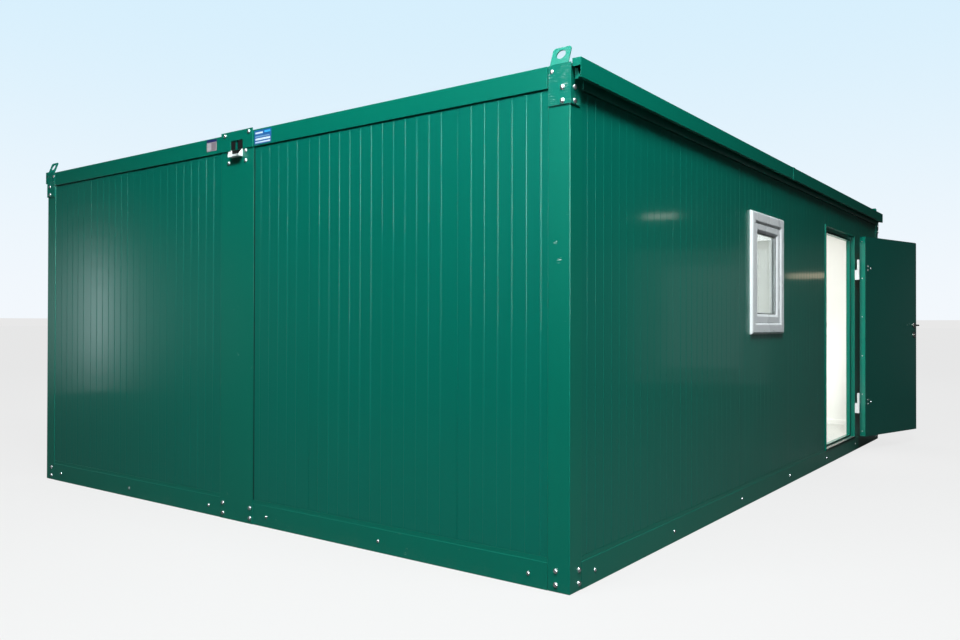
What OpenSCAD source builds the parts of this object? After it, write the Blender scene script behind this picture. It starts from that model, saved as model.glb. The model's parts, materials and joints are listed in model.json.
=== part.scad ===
// Portable site cabin: two flat-roofed steel modules bolted side by side into one room.
// X runs across the width, Y along the length and Z up. The front end faces -Y and the
// door side faces +X. The origin is on the ground at the middle of the cabin.

/* [Overall] */
// Length of the cabin from its front end to its back end
cabin_length = 6050; // [5200:10:7400]
// Width of each of the two modules, measured to the middle of the joint
module_width = 2200; // [1900:10:2700]
// Height from the ground to the top of the roof rails
cabin_height = 2220; // [2150:10:2700]
// Gap between the two modules
module_gap = 10; // [4:1:20]
// Length of each packer in the gap between the base rails
packer_length = 120; // [60:10:300]
// Number of packers on each side of the middle one
packer_count = 2; // [1:1:4]

/* [Base and floor] */
// Height of the base rails
base_height = 117; // [100:1:150]
// Height of the sill flashing above the base rails
sill_height = 22; // [10:1:40]
// Thickness of the sill flashing
sill_thickness = 2; // [1:0.5:3]
// How far the sill flashing stands behind the face of the base rail
sill_setback = 2; // [1:0.5:4]
// Thickness of the floor boards
floor_thickness = 23; // [18:1:30]
// Height of the finished floor above the ground
floor_level = 120; // [118:1:150]
// Number of cross bearers under the floor of each module
bearer_count = 9; // [4:1:14]
// Width of a floor bearer
bearer_width = 50; // [30:1:80]
// Clearance between the ground and the underside of the bearers
bearer_clearance = 12; // [5:1:30]
// Width of the strip that covers the floor joint
floor_strip_width = 50; // [30:1:90]
// Thickness of the strip that covers the floor joint
floor_strip_thickness = 3; // [2:0.5:5]

/* [Walls and posts] */
// Thickness of the posts and of the wall line
wall_thickness = 60; // [50:1:100]
// How far the panels stand behind the faces of the posts
panel_setback = 4; // [3:0.5:8]
// Width of a full wall panel
panel_width = 1000; // [980:5:1050]
// Open joint between neighbouring panels
panel_joint = 1; // [0.5:0.5:3]
// Width of a post on the end face of a module
post_end_width = 110; // [100:1:140]
// Width of a corner post on the long side
post_side_width = 100; // [80:1:140]
// How much wider the first panel of a long side is than half of the two cut panels together
panel_shift = 25; // [0:5:60]

/* [Roof] */
// Height of the roof rails
roof_rail_height = 95; // [80:1:120]
// How far the roof rails stand proud of the posts
roof_rail_proud = 5; // [3:0.5:8]
// Height of the shadow gap under the roof rails
shadow_gap = 5; // [3:0.5:8]
// Depth of the shadow gap into the rail
shadow_depth = 14; // [8:1:25]
// Height of the roof beams along the module joint
inner_beam_height = 160; // [120:1:220]
// Thickness of the ceiling boards
ceiling_thickness = 12; // [8:1:20]
// Thickness of the roof build-up
roof_thickness = 20; // [10:1:40]
// Depth of the roof surface below the top of the rails
roof_recess = 20; // [10:1:40]
// Width of the cap over the roof joint
cap_width = 116; // [80:2:126]
// Height of the cap over the roof joint
cap_height = 14; // [8:1:30]
// Sheet thickness of the roof cap and the gutters
sheet = 3; // [2:0.5:4]

/* [Gutters] */
// Width of a gutter from the roof rail outwards
gutter_width = 42; // [30:1:80]
// Height of a gutter
gutter_height = 83; // [60:1:120]
// How far the top of a gutter stands above the roof rails
gutter_rise = 16; // [10:1:30]
// Width of the lower return of a gutter
gutter_return = 18; // [10:1:25]
// Height of the closed upper part at the end of a gutter
gutter_end_height = 34; // [20:1:50]
// Distance of the gutter ends from the end faces of the cabin
gutter_inset = 6; // [0:1:20]
// Width of the strap over the gutter joint
strap_width = 45; // [30:1:80]
// Thickness of the strap over the gutter joint
strap_thickness = 2; // [1:0.5:3]

/* [Joint covers] */
// Width of the cover plate over the joint between the modules
cover_width = 296; // [250:2:320]
// Thickness of the cover plate
cover_thickness = 3; // [2:0.5:5]
// Width of the splice plate at the roof
splice_width = 284; // [240:2:300]
// Thickness of the splice plate
splice_thickness = 3; // [2:0.5:5]
// Width of the notch in the splice plate
notch_width = 110; // [80:1:140]
// Height of the notch in the splice plate
notch_height = 55; // [40:1:70]
// Width of the rainwater outlet
outlet_width = 100; // [60:1:105]
// Height of the rainwater outlet
outlet_height = 42; // [40:1:70]
// How far the rainwater outlet sticks out
outlet_reach = 30; // [20:1:80]
// Wall of the rainwater outlet
outlet_wall = 4; // [3:0.5:6]

/* [Lifting lugs] */
// Plate thickness of a lifting lug
lug_thickness = 5; // [4:0.5:8]
// Distance between the lug plate on the end face and the roof rail beside it
lug_margin = 5; // [2:1:10]
// Width of the lug flange on the long side
lug_flange = 75; // [60:1:90]
// Height of the lug plate below the top of the roof rails
lug_drop = 172; // [150:1:220]
// Length of the ear above the roof rails, measured along the ear
ear_length = 82; // [75:1:120]
// Width of the ear
ear_width = 90; // [80:1:90]
// Lean of the ear inwards over the roof
ear_lean = 21; // [0:1:35]
// Diameter of the lifting eye
eye_diameter = 44; // [30:1:50]
// Distance of the lifting eye from the bend, measured along the ear
eye_height = 46; // [40:1:50]
// Corner radius of the ear
ear_radius = 14; // [8:1:20]

/* [Window] */
// Width of the window frame
window_width = 660; // [500:5:800]
// Height of the window frame
window_height = 785; // [600:5:900]
// Height of the underside of the window frame above the ground
window_sill = 1070; // [900:5:1150]
// Distance of the window centre from the middle of its panel
window_shift = 20; // [-50:5:50]
// Width of the window frame's face
window_frame_face = 70; // [50:1:90]
// How far the window frame stands proud of the panel
window_proud = 20; // [10:1:30]
// How far the window frame laps over the panel
window_lap = 20; // [10:1:30]
// Width of the sash face
sash_face = 58; // [40:1:70]
// How far the sash face stands behind the face of the window frame
sash_recess = 8; // [5:1:12]
// Depth of the sash
sash_depth = 54; // [40:1:60]
// Thickness of the double glazing
glazing_thickness = 24; // [10:1:30]
// Clearance around the sash and the glazing
window_clearance = 0.5; // [0.2:0.1:0.8]

/* [Door] */
// Width of each door jamb
jamb_width = 41; // [36:1:42]
// Depth of the door stop
stop_depth = 30; // [20:1:40]
// Width of the outer flange of the door frame
frame_flange = 14; // [10:1:20]
// How far the door frame stands proud of the posts
frame_proud = 6; // [3:1:10]
// Height of the clear opening above the ground
door_head_level = 1888; // [1850:1:1990]
// Height of the door head section
door_head_height = 57; // [45:1:80]
// Height of the raised inner part of the threshold
threshold_height = 28; // [20:1:40]
// Height of the lower outer part of the threshold
threshold_step = 10; // [5:1:12]
// Thickness of the door leaf
leaf_thickness = 52; // [40:1:60]
// Height of the underside of the door leaf above the ground
leaf_level = 134; // [133:1:140]
// Clearance between the edges of the leaf and the frame
leaf_clearance = 8; // [7:0.5:12]
// Clearance between the leaf and the door stop
stop_clearance = 5; // [5:0.5:8]
// Size of the cut at the top free corner of the leaf
leaf_cut = 14; // [5:1:25]
// Angle by which the leaf stands open
open_angle = 164; // [0:1:170]

/* [Hinges and handle] */
// Height of a hinge
hinge_height = 180; // [120:2:200]
// Distance of the hinge centres from the ends of the leaf
hinge_inset = 295; // [200:5:400]
// Radius of the hinge barrel
barrel_radius = 10; // [9:0.5:10]
// Radius of the hinge pin
pin_radius = 5; // [4:0.5:6]
// Radial clearance of the hinge pin
pin_clearance = 0.1; // [0.05:0.05:0.3]
// Distance of the pin axis from the outer face of the leaf
pin_offset = 9; // [9:0.5:14]
// Gap between the lower and the upper half of a hinge
hinge_play = 1; // [0.5:0.5:2]
// Distance of the pin's upper end below the top of its hinge
pin_drop = 10; // [9:1:20]
// Thickness of the cap that closes the bore of a hinge
bore_cap = 8; // [5:1:8]
// How far the hinge lug stands back from the inner face of the frame flange
hinge_lug_setback = 2; // [1:0.5:4]
// Width of the hinge strap on the leaf
hinge_strap = 58; // [40:1:80]
// Thickness of the hinge strap on the leaf
hinge_strap_thickness = 4; // [3:0.5:5]
// Height of the lever handle above the ground
handle_level = 1130; // [950:5:1200]
// Distance of the handle axis from the free edge of the leaf
handle_backset = 50; // [50:1:70]
// Length of the lever grip
lever_length = 130; // [100:1:150]
// Radius of the lever grip and of its neck
lever_radius = 8; // [6:0.5:9]
// Distance of the lever grip's axis from the leaf
lever_standoff = 50; // [40:1:60]
// Radius of the handle spindle
spindle_radius = 5; // [4:0.5:6]
// Radial clearance of the spindle and the neck
handle_clearance = 0.5; // [0.3:0.1:1]
// Radius of a rosette
rosette_radius = 25; // [20:1:25]
// Thickness of a rosette
rosette_thickness = 8; // [5:1:12]
// Distance of the key rosette below the handle axis
key_drop = 92; // [72:1:110]
// Radius of the key cylinder
key_radius = 8.5; // [8:0.5:10]
// How far the key cylinder stands out of its rosette
key_proud = 3; // [1:0.5:5]

/* [Hidden] */
$fn = 48;

paint = [0.0, 0.42, 0.35];
lining = [0.9, 0.9, 0.88];
zinc = [0.72, 0.74, 0.75];
glass = [0.7, 0.8, 0.85];
white = [0.95, 0.95, 0.94];
overlap = 1;

// Faces of the cabin
half_length = cabin_length / 2;
half_width = module_width;
half_gap = module_gap / 2;
top = cabin_height;
inner_x = half_width - wall_thickness;
inner_y = half_length - wall_thickness;
panel_bottom = base_height;
panel_top = top - roof_rail_height - shadow_gap;
rail_face = half_width + roof_rail_proud;

// Wall panels of an end face: a full panel between two cut ones
end_clear_0 = half_gap + post_end_width;
end_clear_1 = half_width - post_end_width;
end_cut = (end_clear_1 - end_clear_0 - panel_width) / 2;
end_joints = [end_clear_0, end_clear_0 + end_cut, end_clear_1 - end_cut, end_clear_1];

// Joints along a long side: cut panels at both ends and four full ones between them
side_cut = (cabin_length - 2 * post_side_width - 4 * panel_width) / 2;
side_joints = [
    -half_length + post_side_width,
    for (i = [0:4]) -half_length + post_side_width + side_cut + panel_shift + i * panel_width,
    half_length - post_side_width
];

// Window in the third bay and door in the fifth
window_y = (side_joints[2] + side_joints[3]) / 2 + window_shift;
window_z = window_sill + window_height / 2;
panel_face = half_width - panel_setback;
sash_width = window_width - 2 * window_frame_face - 2 * window_clearance;
sash_height = window_height - 2 * window_frame_face - 2 * window_clearance;
sash_face_x = panel_face + window_proud - sash_recess;
glass_width = sash_width - 2 * sash_face - 2 * window_clearance;
glass_height = sash_height - 2 * sash_face - 2 * window_clearance;
glass_x = sash_face_x - (sash_depth + glazing_thickness) / 2;

door_y0 = side_joints[4] + panel_joint / 2;
door_y1 = side_joints[5] - panel_joint / 2;
stop_x = inner_x + stop_depth;
frame_x = half_width + frame_proud;
head_top = door_head_level + door_head_height;

// Door leaf, given as it lies when shut
leaf_y0 = door_y0 + frame_flange + leaf_clearance;
leaf_y1 = door_y1 - frame_flange - leaf_clearance;
leaf_x0 = stop_x + stop_clearance;
leaf_x1 = leaf_x0 + leaf_thickness;
leaf_top = head_top - frame_flange - leaf_clearance;
hinge_levels = [leaf_level + hinge_inset, leaf_top - hinge_inset];
pin_x = leaf_x1 + pin_offset;
pin_y = door_y1 - frame_flange;
handle_y = leaf_y0 + handle_backset;

// Box between two corners
module block(from, to) {
    translate(from) cube(to - from);
}

// Both modules, the second a mirror image of the first
module both_modules() {
    children();
    mirror([1, 0, 0]) children();
}

// Both ends of the cabin
module both_ends() {
    children();
    mirror([0, 1, 0]) children();
}

// Bar along X with its section given as [y, z] points
module bar_along_x(points, x0, x1) {
    translate([x0, 0, 0]) rotate([90, 0, 90]) linear_extrude(x1 - x0) polygon(points);
}

// Bar along Y with its section given as [x, z] points
module bar_along_y(points, y0, y1) {
    translate([0, y1, 0]) rotate([90, 0, 0]) linear_extrude(y1 - y0) polygon(points);
}

// Section of a base rail with its sill flashing, from the outer face at 0 inwards
function base_section(face, inwards) = [
    [face, 0],
    [face, base_height],
    [face + inwards * sill_setback, base_height],
    [face + inwards * sill_setback, base_height + sill_height],
    [face + inwards * (sill_setback + sill_thickness), base_height + sill_height],
    [face + inwards * (sill_setback + sill_thickness), base_height],
    [face + inwards * wall_thickness, base_height],
    [face + inwards * wall_thickness, 0]
];

// Section of a roof rail with the shadow gap under its proud face
function roof_section(face, inwards) = [
    [face - inwards * roof_rail_proud, top],
    [face - inwards * roof_rail_proud, top - roof_rail_height],
    [face + inwards * shadow_depth, top - roof_rail_height],
    [face + inwards * shadow_depth, panel_top],
    [face + inwards * wall_thickness, panel_top],
    [face + inwards * wall_thickness, top]
];

module base_rails_ends() {
    color(paint)
    both_modules() both_ends()
        bar_along_x(base_section(-half_length, 1), end_clear_0, end_clear_1);
}

module base_rails_sides() {
    color(paint) {
        difference() {
            bar_along_y(base_section(half_width, -1), side_joints[0], side_joints[6]);
            block([inner_x - overlap, door_y0, base_height],
                  [frame_x, door_y1, base_height + sill_height + overlap]);
        }
        mirror([1, 0, 0])
            bar_along_y(base_section(half_width, -1), side_joints[0], side_joints[6]);
    }
}

module base_rails_inner() {
    color(paint)
    both_modules()
        block([half_gap, -inner_y, 0],
              [half_gap + wall_thickness, inner_y, floor_level - floor_thickness]);
}

// Packers that space the two inner base rails, the middle one at the origin
module base_packers() {
    pitch = inner_y / (packer_count + 0.5);
    color(zinc)
    for (i = [-packer_count:packer_count])
        block([-half_gap, i * pitch - packer_length / 2, 0],
              [half_gap, i * pitch + packer_length / 2, floor_level - floor_thickness]);
}

module floor_bearers() {
    pitch = 2 * inner_y / bearer_count;
    color(zinc)
    both_modules()
        for (i = [0:bearer_count - 1])
            translate([0, -inner_y + (i + 0.5) * pitch, 0])
                block([half_gap + wall_thickness, -bearer_width / 2, bearer_clearance],
                      [inner_x, bearer_width / 2, floor_level - floor_thickness]);
}

module floor_boards() {
    color([0.7, 0.7, 0.68])
    both_modules()
        block([half_gap, -inner_y, floor_level - floor_thickness],
              [inner_x, inner_y, floor_level]);
}

module floor_joint_strip() {
    color(zinc)
    block([-floor_strip_width / 2, -inner_y, floor_level],
          [floor_strip_width / 2, inner_y, floor_level + floor_strip_thickness]);
}

// Folded corner post, wrapping the corner from the end face to the long side
module corner_post() {
    linear_extrude(top) polygon([
        [half_width, -half_length],
        [half_width, -half_length + post_side_width],
        [inner_x, -half_length + post_side_width],
        [inner_x, -inner_y],
        [half_width - post_end_width, -inner_y],
        [half_width - post_end_width, -half_length]
    ]);
}

module corner_posts_front() {
    color(paint) both_modules() corner_post();
}

module corner_posts_back() {
    color(paint) both_modules() mirror([0, 1, 0]) corner_post();
}

module centre_posts() {
    color(paint)
    both_modules() both_ends()
        block([half_gap, -half_length, 0], [end_clear_0, -inner_y, top]);
}

// The three panels in the front end of the module with the door
module end_wall() {
    color(paint)
    for (i = [0:2])
        block([end_joints[i] + (i > 0 ? panel_joint / 2 : 0), -half_length + panel_setback, panel_bottom],
              [end_joints[i + 1] - (i < 2 ? panel_joint / 2 : 0), -inner_y, panel_top]);
}

module front_wall_door_module() {
    end_wall();
}

module front_wall_plain_module() {
    mirror([1, 0, 0]) end_wall();
}

module back_wall_door_module() {
    mirror([0, 1, 0]) end_wall();
}

module back_wall_plain_module() {
    mirror([1, 0, 0]) mirror([0, 1, 0]) end_wall();
}

// Panel of a long side in bay i, counted from 1 at the front end
module side_panel(i, bottom = panel_bottom) {
    block([inner_x, side_joints[i - 1] + (i > 1 ? panel_joint / 2 : 0), bottom],
          [panel_face, side_joints[i] - (i < 6 ? panel_joint / 2 : 0), panel_top]);
}

module plain_side_wall() {
    color(paint)
    mirror([1, 0, 0])
        for (i = [1:6]) side_panel(i);
}

module door_side_panel_1() {
    color(paint) side_panel(1);
}

module door_side_panel_2() {
    color(paint) side_panel(2);
}

// Box centred on the window, given by its width, height and depth range
module window_block(width, height, x0, x1) {
    block([x0, window_y - width / 2, window_z - height / 2],
          [x1, window_y + width / 2, window_z + height / 2]);
}

module window_panel() {
    color(paint)
    difference() {
        side_panel(3);
        window_block(window_width - 2 * window_lap, window_height - 2 * window_lap,
                     inner_x - overlap, panel_face + overlap);
    }
}

module door_side_panel_4() {
    color(paint) side_panel(4);
}

module door_head_panel() {
    color(paint) side_panel(5, head_top);
}

module door_side_panel_6() {
    color(paint) side_panel(6);
}

module roof_rails_ends() {
    color(paint)
    both_modules() both_ends()
        bar_along_x(roof_section(-half_length, 1), end_clear_0, end_clear_1);
}

module roof_rails_sides() {
    color(paint)
    both_modules()
        bar_along_y(roof_section(half_width, -1), side_joints[0], side_joints[6]);
}

module roof_beams_inner() {
    color(lining)
    both_modules()
        block([half_gap, -inner_y, top - inner_beam_height],
              [half_gap + wall_thickness, inner_y, top]);
}

module ceilings() {
    color(lining)
    both_modules()
        block([half_gap + wall_thickness, -inner_y, panel_top - ceiling_thickness],
              [inner_x, inner_y, panel_top]);
}

module roof_sheets() {
    color(zinc)
    both_modules()
        block([half_gap + wall_thickness, -inner_y, top - roof_recess - roof_thickness],
              [inner_x, inner_y, top - roof_recess]);
}

module roof_joint_cap() {
    half = cap_width / 2;
    color(zinc)
    bar_along_y([
        [-half, top], [-half, top + cap_height], [half, top + cap_height], [half, top],
        [half - sheet, top], [half - sheet, top + cap_height - sheet],
        [sheet - half, top + cap_height - sheet], [sheet - half, top]
    ], -half_length - roof_rail_proud, half_length + roof_rail_proud);
}

// Folded gutter on the door side, open below at its ends
module gutter() {
    x1 = rail_face + gutter_width;
    z1 = top + gutter_rise;
    z0 = z1 - gutter_height;
    y1 = half_length - gutter_inset;
    bar_along_y([
        [rail_face, z1 - gutter_end_height], [rail_face, z1], [x1, z1], [x1, z0],
        [x1 - gutter_return, z0], [x1 - gutter_return, z0 + sheet], [x1 - sheet, z0 + sheet],
        [x1 - sheet, z1 - sheet], [rail_face + sheet, z1 - sheet],
        [rail_face + sheet, z1 - gutter_end_height]
    ], -y1, y1);
    both_ends()
        block([rail_face + sheet - overlap, -y1, z1 - gutter_end_height],
              [x1 - sheet + overlap, -y1 + sheet, z1 - sheet + overlap]);
}

module side_gutters() {
    color(paint) both_modules() gutter();
}

// Strap folded around the outside of a gutter at its mid-length joint
module gutter_straps() {
    x1 = rail_face + gutter_width;
    z1 = top + gutter_rise;
    z0 = z1 - gutter_height;
    t = strap_thickness;
    color(paint)
    both_modules()
        bar_along_y([
            [rail_face, z1], [rail_face, z1 + t], [x1 + t, z1 + t], [x1 + t, z0 - t],
            [x1 - gutter_return, z0 - t], [x1 - gutter_return, z0], [x1, z0], [x1, z1]
        ], -strap_width / 2, strap_width / 2);
}

module centre_covers() {
    color(paint)
    both_ends()
        block([-cover_width / 2, -half_length - cover_thickness, 0],
              [cover_width / 2, -half_length, top - roof_rail_height]);
}

module splice_plates() {
    face = -half_length - roof_rail_proud;
    color(paint)
    both_ends()
        difference() {
            block([-splice_width / 2, face - splice_thickness, top - roof_rail_height],
                  [splice_width / 2, face, top + cap_height]);
            block([-notch_width / 2, face - splice_thickness - overlap, top - roof_rail_height - overlap],
                  [notch_width / 2, face + overlap, top - roof_rail_height + notch_height]);
        }
}

// Open spout that throws the rainwater clear of the cover plate
module rainwater_outlets() {
    back = -half_length - cover_thickness;
    z1 = top - roof_rail_height;
    z0 = z1 - outlet_height;
    color(white)
    both_ends()
        difference() {
            block([-outlet_width / 2, back - outlet_reach, z0], [outlet_width / 2, back, z1]);
            block([-outlet_width / 2 + outlet_wall, back - outlet_reach + outlet_wall, z0 + outlet_wall],
                  [outlet_width / 2 - outlet_wall, back - outlet_wall, z1 + overlap]);
        }
}

// Bent plate with an ear, bolted over the top of the front corner on the door side
module lifting_lug() {
    t = lug_thickness;
    x1 = half_width + t;
    x0 = half_width - post_end_width + lug_margin;
    y0 = -half_length - t;
    ear_middle = (x0 + half_width) / 2;
    block([x0, y0, top - lug_drop], [x1, -half_length, top]);
    block([half_width, y0, top - lug_drop], [x1, -half_length + lug_flange, top - roof_rail_height]);
    translate([ear_middle, -half_length, top]) rotate([-ear_lean, 0, 0])
        difference() {
            translate([0, 0, -t / 2]) rotate([90, 0, 0]) linear_extrude(t) ear_outline();
            translate([0, -t - overlap, eye_height]) rotate([-90, 0, 0])
                cylinder(d = eye_diameter, h = t + 2 * overlap);
        }
}

// Outline of the ear with its two upper corners rounded
module ear_outline() {
    w = ear_width / 2;
    h = ear_length + lug_thickness / 2;
    union() {
        translate([-w, 0]) square([2 * w, h - ear_radius]);
        translate([-w + ear_radius, 0]) square([2 * (w - ear_radius), h]);
        for (side = [-1, 1])
            translate([side * (w - ear_radius), h - ear_radius]) circle(ear_radius);
    }
}

module lifting_lugs() {
    color(paint) both_modules() both_ends() lifting_lug();
}

module window_frame() {
    hole_w = window_width - 2 * window_frame_face;
    hole_h = window_height - 2 * window_frame_face;
    color(white)
    difference() {
        union() {
            window_block(window_width, window_height, panel_face, panel_face + window_proud);
            window_block(window_width - 2 * window_lap, window_height - 2 * window_lap,
                         inner_x, panel_face + overlap);
        }
        window_block(hole_w, hole_h, inner_x - overlap, panel_face + window_proud + overlap);
    }
}

module window_sash() {
    color(white)
    difference() {
        window_block(sash_width, sash_height, sash_face_x - sash_depth, sash_face_x);
        window_block(sash_width - 2 * sash_face, sash_height - 2 * sash_face,
                     sash_face_x - sash_depth - overlap, sash_face_x + overlap);
    }
}

module window_glass() {
    color(glass)
    window_block(glass_width, glass_height, glass_x, glass_x + glazing_thickness);
}

// Jamb: a deep stop with a thin flange outside it
module jamb(y0, y1, flange_y0, flange_y1) {
    block([inner_x, y0, base_height], [stop_x, y1, head_top]);
    block([stop_x - overlap, flange_y0, base_height], [frame_x, flange_y1, head_top]);
}

module door_jambs() {
    color(paint) {
        jamb(door_y0, door_y0 + jamb_width, door_y0, door_y0 + frame_flange);
        jamb(door_y1 - jamb_width, door_y1, door_y1 - frame_flange, door_y1);
    }
}

module door_head() {
    color(paint) {
        block([inner_x, door_y0 + jamb_width, door_head_level],
              [stop_x, door_y1 - jamb_width, head_top]);
        block([stop_x, door_y0 + frame_flange, head_top - frame_flange],
              [frame_x, door_y1 - frame_flange, head_top]);
    }
}

module door_threshold() {
    color(paint) {
        block([inner_x, door_y0 + jamb_width, base_height],
              [stop_x, door_y1 - jamb_width, base_height + threshold_height]);
        block([stop_x, door_y0 + frame_flange, base_height],
              [frame_x, door_y1 - frame_flange, base_height + threshold_step]);
    }
}

// Lower half of each hinge: barrel, pin and the lug welded to the frame flange
module frame_hinges() {
    half = hinge_height / 2;
    color(white)
    for (z = hinge_levels)
        translate([pin_x, pin_y, z]) {
            translate([0, 0, -half]) cylinder(r = barrel_radius, h = half - hinge_play);
            translate([0, 0, -half]) cylinder(r = pin_radius, h = hinge_height - pin_drop);
            block([frame_x - pin_x, hinge_lug_setback, -half], [0, frame_flange, -hinge_play]);
        }
}

// Places a piece of the door, given as it lies when shut, at its rest angle
module swung() {
    translate([pin_x, pin_y, 0]) rotate([0, 0, open_angle]) translate([-pin_x, -pin_y, 0])
        children();
}

module door_leaf() {
    color(paint)
    swung()
        difference() {
            translate([leaf_x0, 0, 0]) rotate([90, 0, 90]) linear_extrude(leaf_thickness)
                polygon([
                    [leaf_y0, leaf_level], [leaf_y1, leaf_level], [leaf_y1, leaf_top],
                    [leaf_y0 + leaf_cut, leaf_top], [leaf_y0, leaf_top - leaf_cut / 2]
                ]);
            translate([leaf_x0 - overlap, handle_y, handle_level]) rotate([0, 90, 0])
                cylinder(r = spindle_radius + handle_clearance, h = leaf_thickness + 2 * overlap);
        }
}

// Upper half of each hinge: bored barrel and the strap on the leaf
module leaf_hinges() {
    half = hinge_height / 2;
    color(white)
    swung()
        for (z = hinge_levels)
            translate([pin_x, pin_y, z])
                difference() {
                    union() {
                        cylinder(r = barrel_radius, h = half);
                        block([-pin_offset, -hinge_strap, 0],
                              [-pin_offset + hinge_strap_thickness, 0, half]);
                    }
                    translate([0, 0, -overlap])
                        cylinder(r = pin_radius + pin_clearance, h = half - bore_cap + overlap);
                }
}

// Rosette standing on one face of the leaf, drawn outwards along +X
module rosette(bore) {
    difference() {
        rotate([0, 90, 0]) cylinder(r = rosette_radius, h = rosette_thickness);
        if (bore > 0)
            translate([-overlap, 0, 0]) rotate([0, 90, 0])
                cylinder(r = bore, h = rosette_thickness + 2 * overlap);
    }
}

module key_rosette() {
    rosette(0);
    rotate([0, 90, 0]) cylinder(r = key_radius, h = rosette_thickness + key_proud);
}

// Rosettes of the handle and of the key cylinder on both faces of the leaf
module door_rosettes() {
    color(zinc)
    swung() {
        for (face = [[leaf_x1, 0], [leaf_x0, 1]])
            translate([face[0], handle_y, handle_level]) mirror([face[1], 0, 0]) {
                rosette(lever_radius + handle_clearance);
                translate([0, 0, -key_drop]) key_rosette();
            }
    }
}

// Neck and grip of a lever on the outer face, drawn from the face outwards along +X
module lever() {
    translate([handle_clearance, 0, 0]) rotate([0, 90, 0])
        cylinder(r = lever_radius, h = lever_standoff - handle_clearance);
    translate([lever_standoff, 0, 0]) {
        sphere(lever_radius);
        rotate([-90, 0, 0]) cylinder(r = lever_radius, h = lever_length);
        translate([0, lever_length, 0]) sphere(lever_radius);
    }
}

module door_handle() {
    color(zinc)
    swung()
        translate([0, handle_y, handle_level]) {
            translate([leaf_x1, 0, 0]) lever();
            translate([leaf_x0, 0, 0]) mirror([1, 0, 0]) lever();
            translate([leaf_x0 - overlap, 0, 0]) rotate([0, 90, 0])
                cylinder(r = spindle_radius, h = leaf_thickness + 2 * overlap);
        }
}

base_rails_ends();
base_rails_sides();
base_rails_inner();
base_packers();
floor_bearers();
floor_boards();
floor_joint_strip();
corner_posts_front();
corner_posts_back();
centre_posts();
front_wall_door_module();
front_wall_plain_module();
back_wall_door_module();
back_wall_plain_module();
plain_side_wall();
door_side_panel_1();
door_side_panel_2();
window_panel();
door_side_panel_4();
door_head_panel();
door_side_panel_6();
roof_rails_ends();
roof_rails_sides();
roof_beams_inner();
ceilings();
roof_sheets();
roof_joint_cap();
side_gutters();
gutter_straps();
centre_covers();
splice_plates();
rainwater_outlets();
lifting_lugs();
window_frame();
window_sash();
window_glass();
door_jambs();
door_head();
door_threshold();
frame_hinges();
door_leaf();
leaf_hinges();
door_rosettes();
door_handle();
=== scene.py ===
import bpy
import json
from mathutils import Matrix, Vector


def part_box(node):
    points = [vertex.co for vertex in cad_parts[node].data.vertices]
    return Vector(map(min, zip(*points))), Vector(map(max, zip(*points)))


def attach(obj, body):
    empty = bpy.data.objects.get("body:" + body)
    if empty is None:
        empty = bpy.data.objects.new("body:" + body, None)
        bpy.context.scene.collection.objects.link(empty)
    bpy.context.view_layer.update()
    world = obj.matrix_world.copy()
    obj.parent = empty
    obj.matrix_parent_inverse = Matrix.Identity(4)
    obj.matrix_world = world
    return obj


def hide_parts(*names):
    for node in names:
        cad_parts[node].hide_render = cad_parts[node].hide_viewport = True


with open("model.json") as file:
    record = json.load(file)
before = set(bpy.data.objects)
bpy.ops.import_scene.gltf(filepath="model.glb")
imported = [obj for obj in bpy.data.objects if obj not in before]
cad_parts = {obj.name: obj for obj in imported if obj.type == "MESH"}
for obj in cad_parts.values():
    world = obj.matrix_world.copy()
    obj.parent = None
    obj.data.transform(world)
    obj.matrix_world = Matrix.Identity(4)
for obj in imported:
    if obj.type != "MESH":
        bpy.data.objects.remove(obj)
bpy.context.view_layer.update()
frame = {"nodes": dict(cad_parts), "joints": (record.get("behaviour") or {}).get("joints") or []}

import json
import math

import bmesh
import bpy
from mathutils import Matrix, Vector

# Everything is in metres. MM turns a maker's millimetres into metres.
MM = 0.001
NODES = frame["nodes"]
UP = Vector((0, 0, 1))

# ---- sizes read from the frame

post_lo, post_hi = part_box("corner_posts_front")
HALF_WIDTH, HALF_LENGTH, TOP = post_hi.x, -post_lo.y, post_hi.z
POST_SIDE = post_hi.y - post_lo.y
panel_lo, panel_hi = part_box("door_side_panel_1")
INNER_X, PANEL_X = panel_lo.x, panel_hi.x
PANEL_TOP = panel_hi.z
wall_lo, wall_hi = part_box("front_wall_door_module")
INNER_Y, PANEL_Y = -wall_hi.y, -wall_lo.y
POST_END = HALF_WIDTH - wall_hi.x
CENTRE_POST = wall_lo.x
SILL_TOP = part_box("base_rails_ends")[1].z
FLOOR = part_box("floor_boards")[1].z
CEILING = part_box("ceilings")[0].z
RAIL_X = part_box("roof_rails_sides")[1].x
RAIL_Y = -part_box("roof_rails_ends")[0].y
RAIL_BOTTOM = TOP - 95 * MM
gutter_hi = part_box("side_gutters")[1]
cover_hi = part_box("centre_covers")[1]
outlet_lo, outlet_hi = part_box("rainwater_outlets")
win_lo, win_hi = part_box("window_frame")
sash_lo, sash_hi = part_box("window_sash")
pane_lo, pane_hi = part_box("window_glass")
jamb_lo, jamb_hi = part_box("door_jambs")
head_lo, head_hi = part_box("door_head")
step_lo, step_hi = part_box("door_threshold")
roof_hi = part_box("roof_sheets")[1]
beam_lo, beam_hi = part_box("roof_beams_inner")

SIDE_JOINTS = [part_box(n)[1].y for n in (
    "door_side_panel_1", "door_side_panel_2", "window_panel", "door_side_panel_4", "door_head_panel")]
PANEL_JOINT = 1 * MM
full_lo, full_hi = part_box("door_side_panel_2")
FULL_PANEL = full_hi.y - full_lo.y + PANEL_JOINT
END_MIDDLE = (wall_lo.x + wall_hi.x) / 2
END_JOINTS = [END_MIDDLE - FULL_PANEL / 2, END_MIDDLE + FULL_PANEL / 2]

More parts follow.
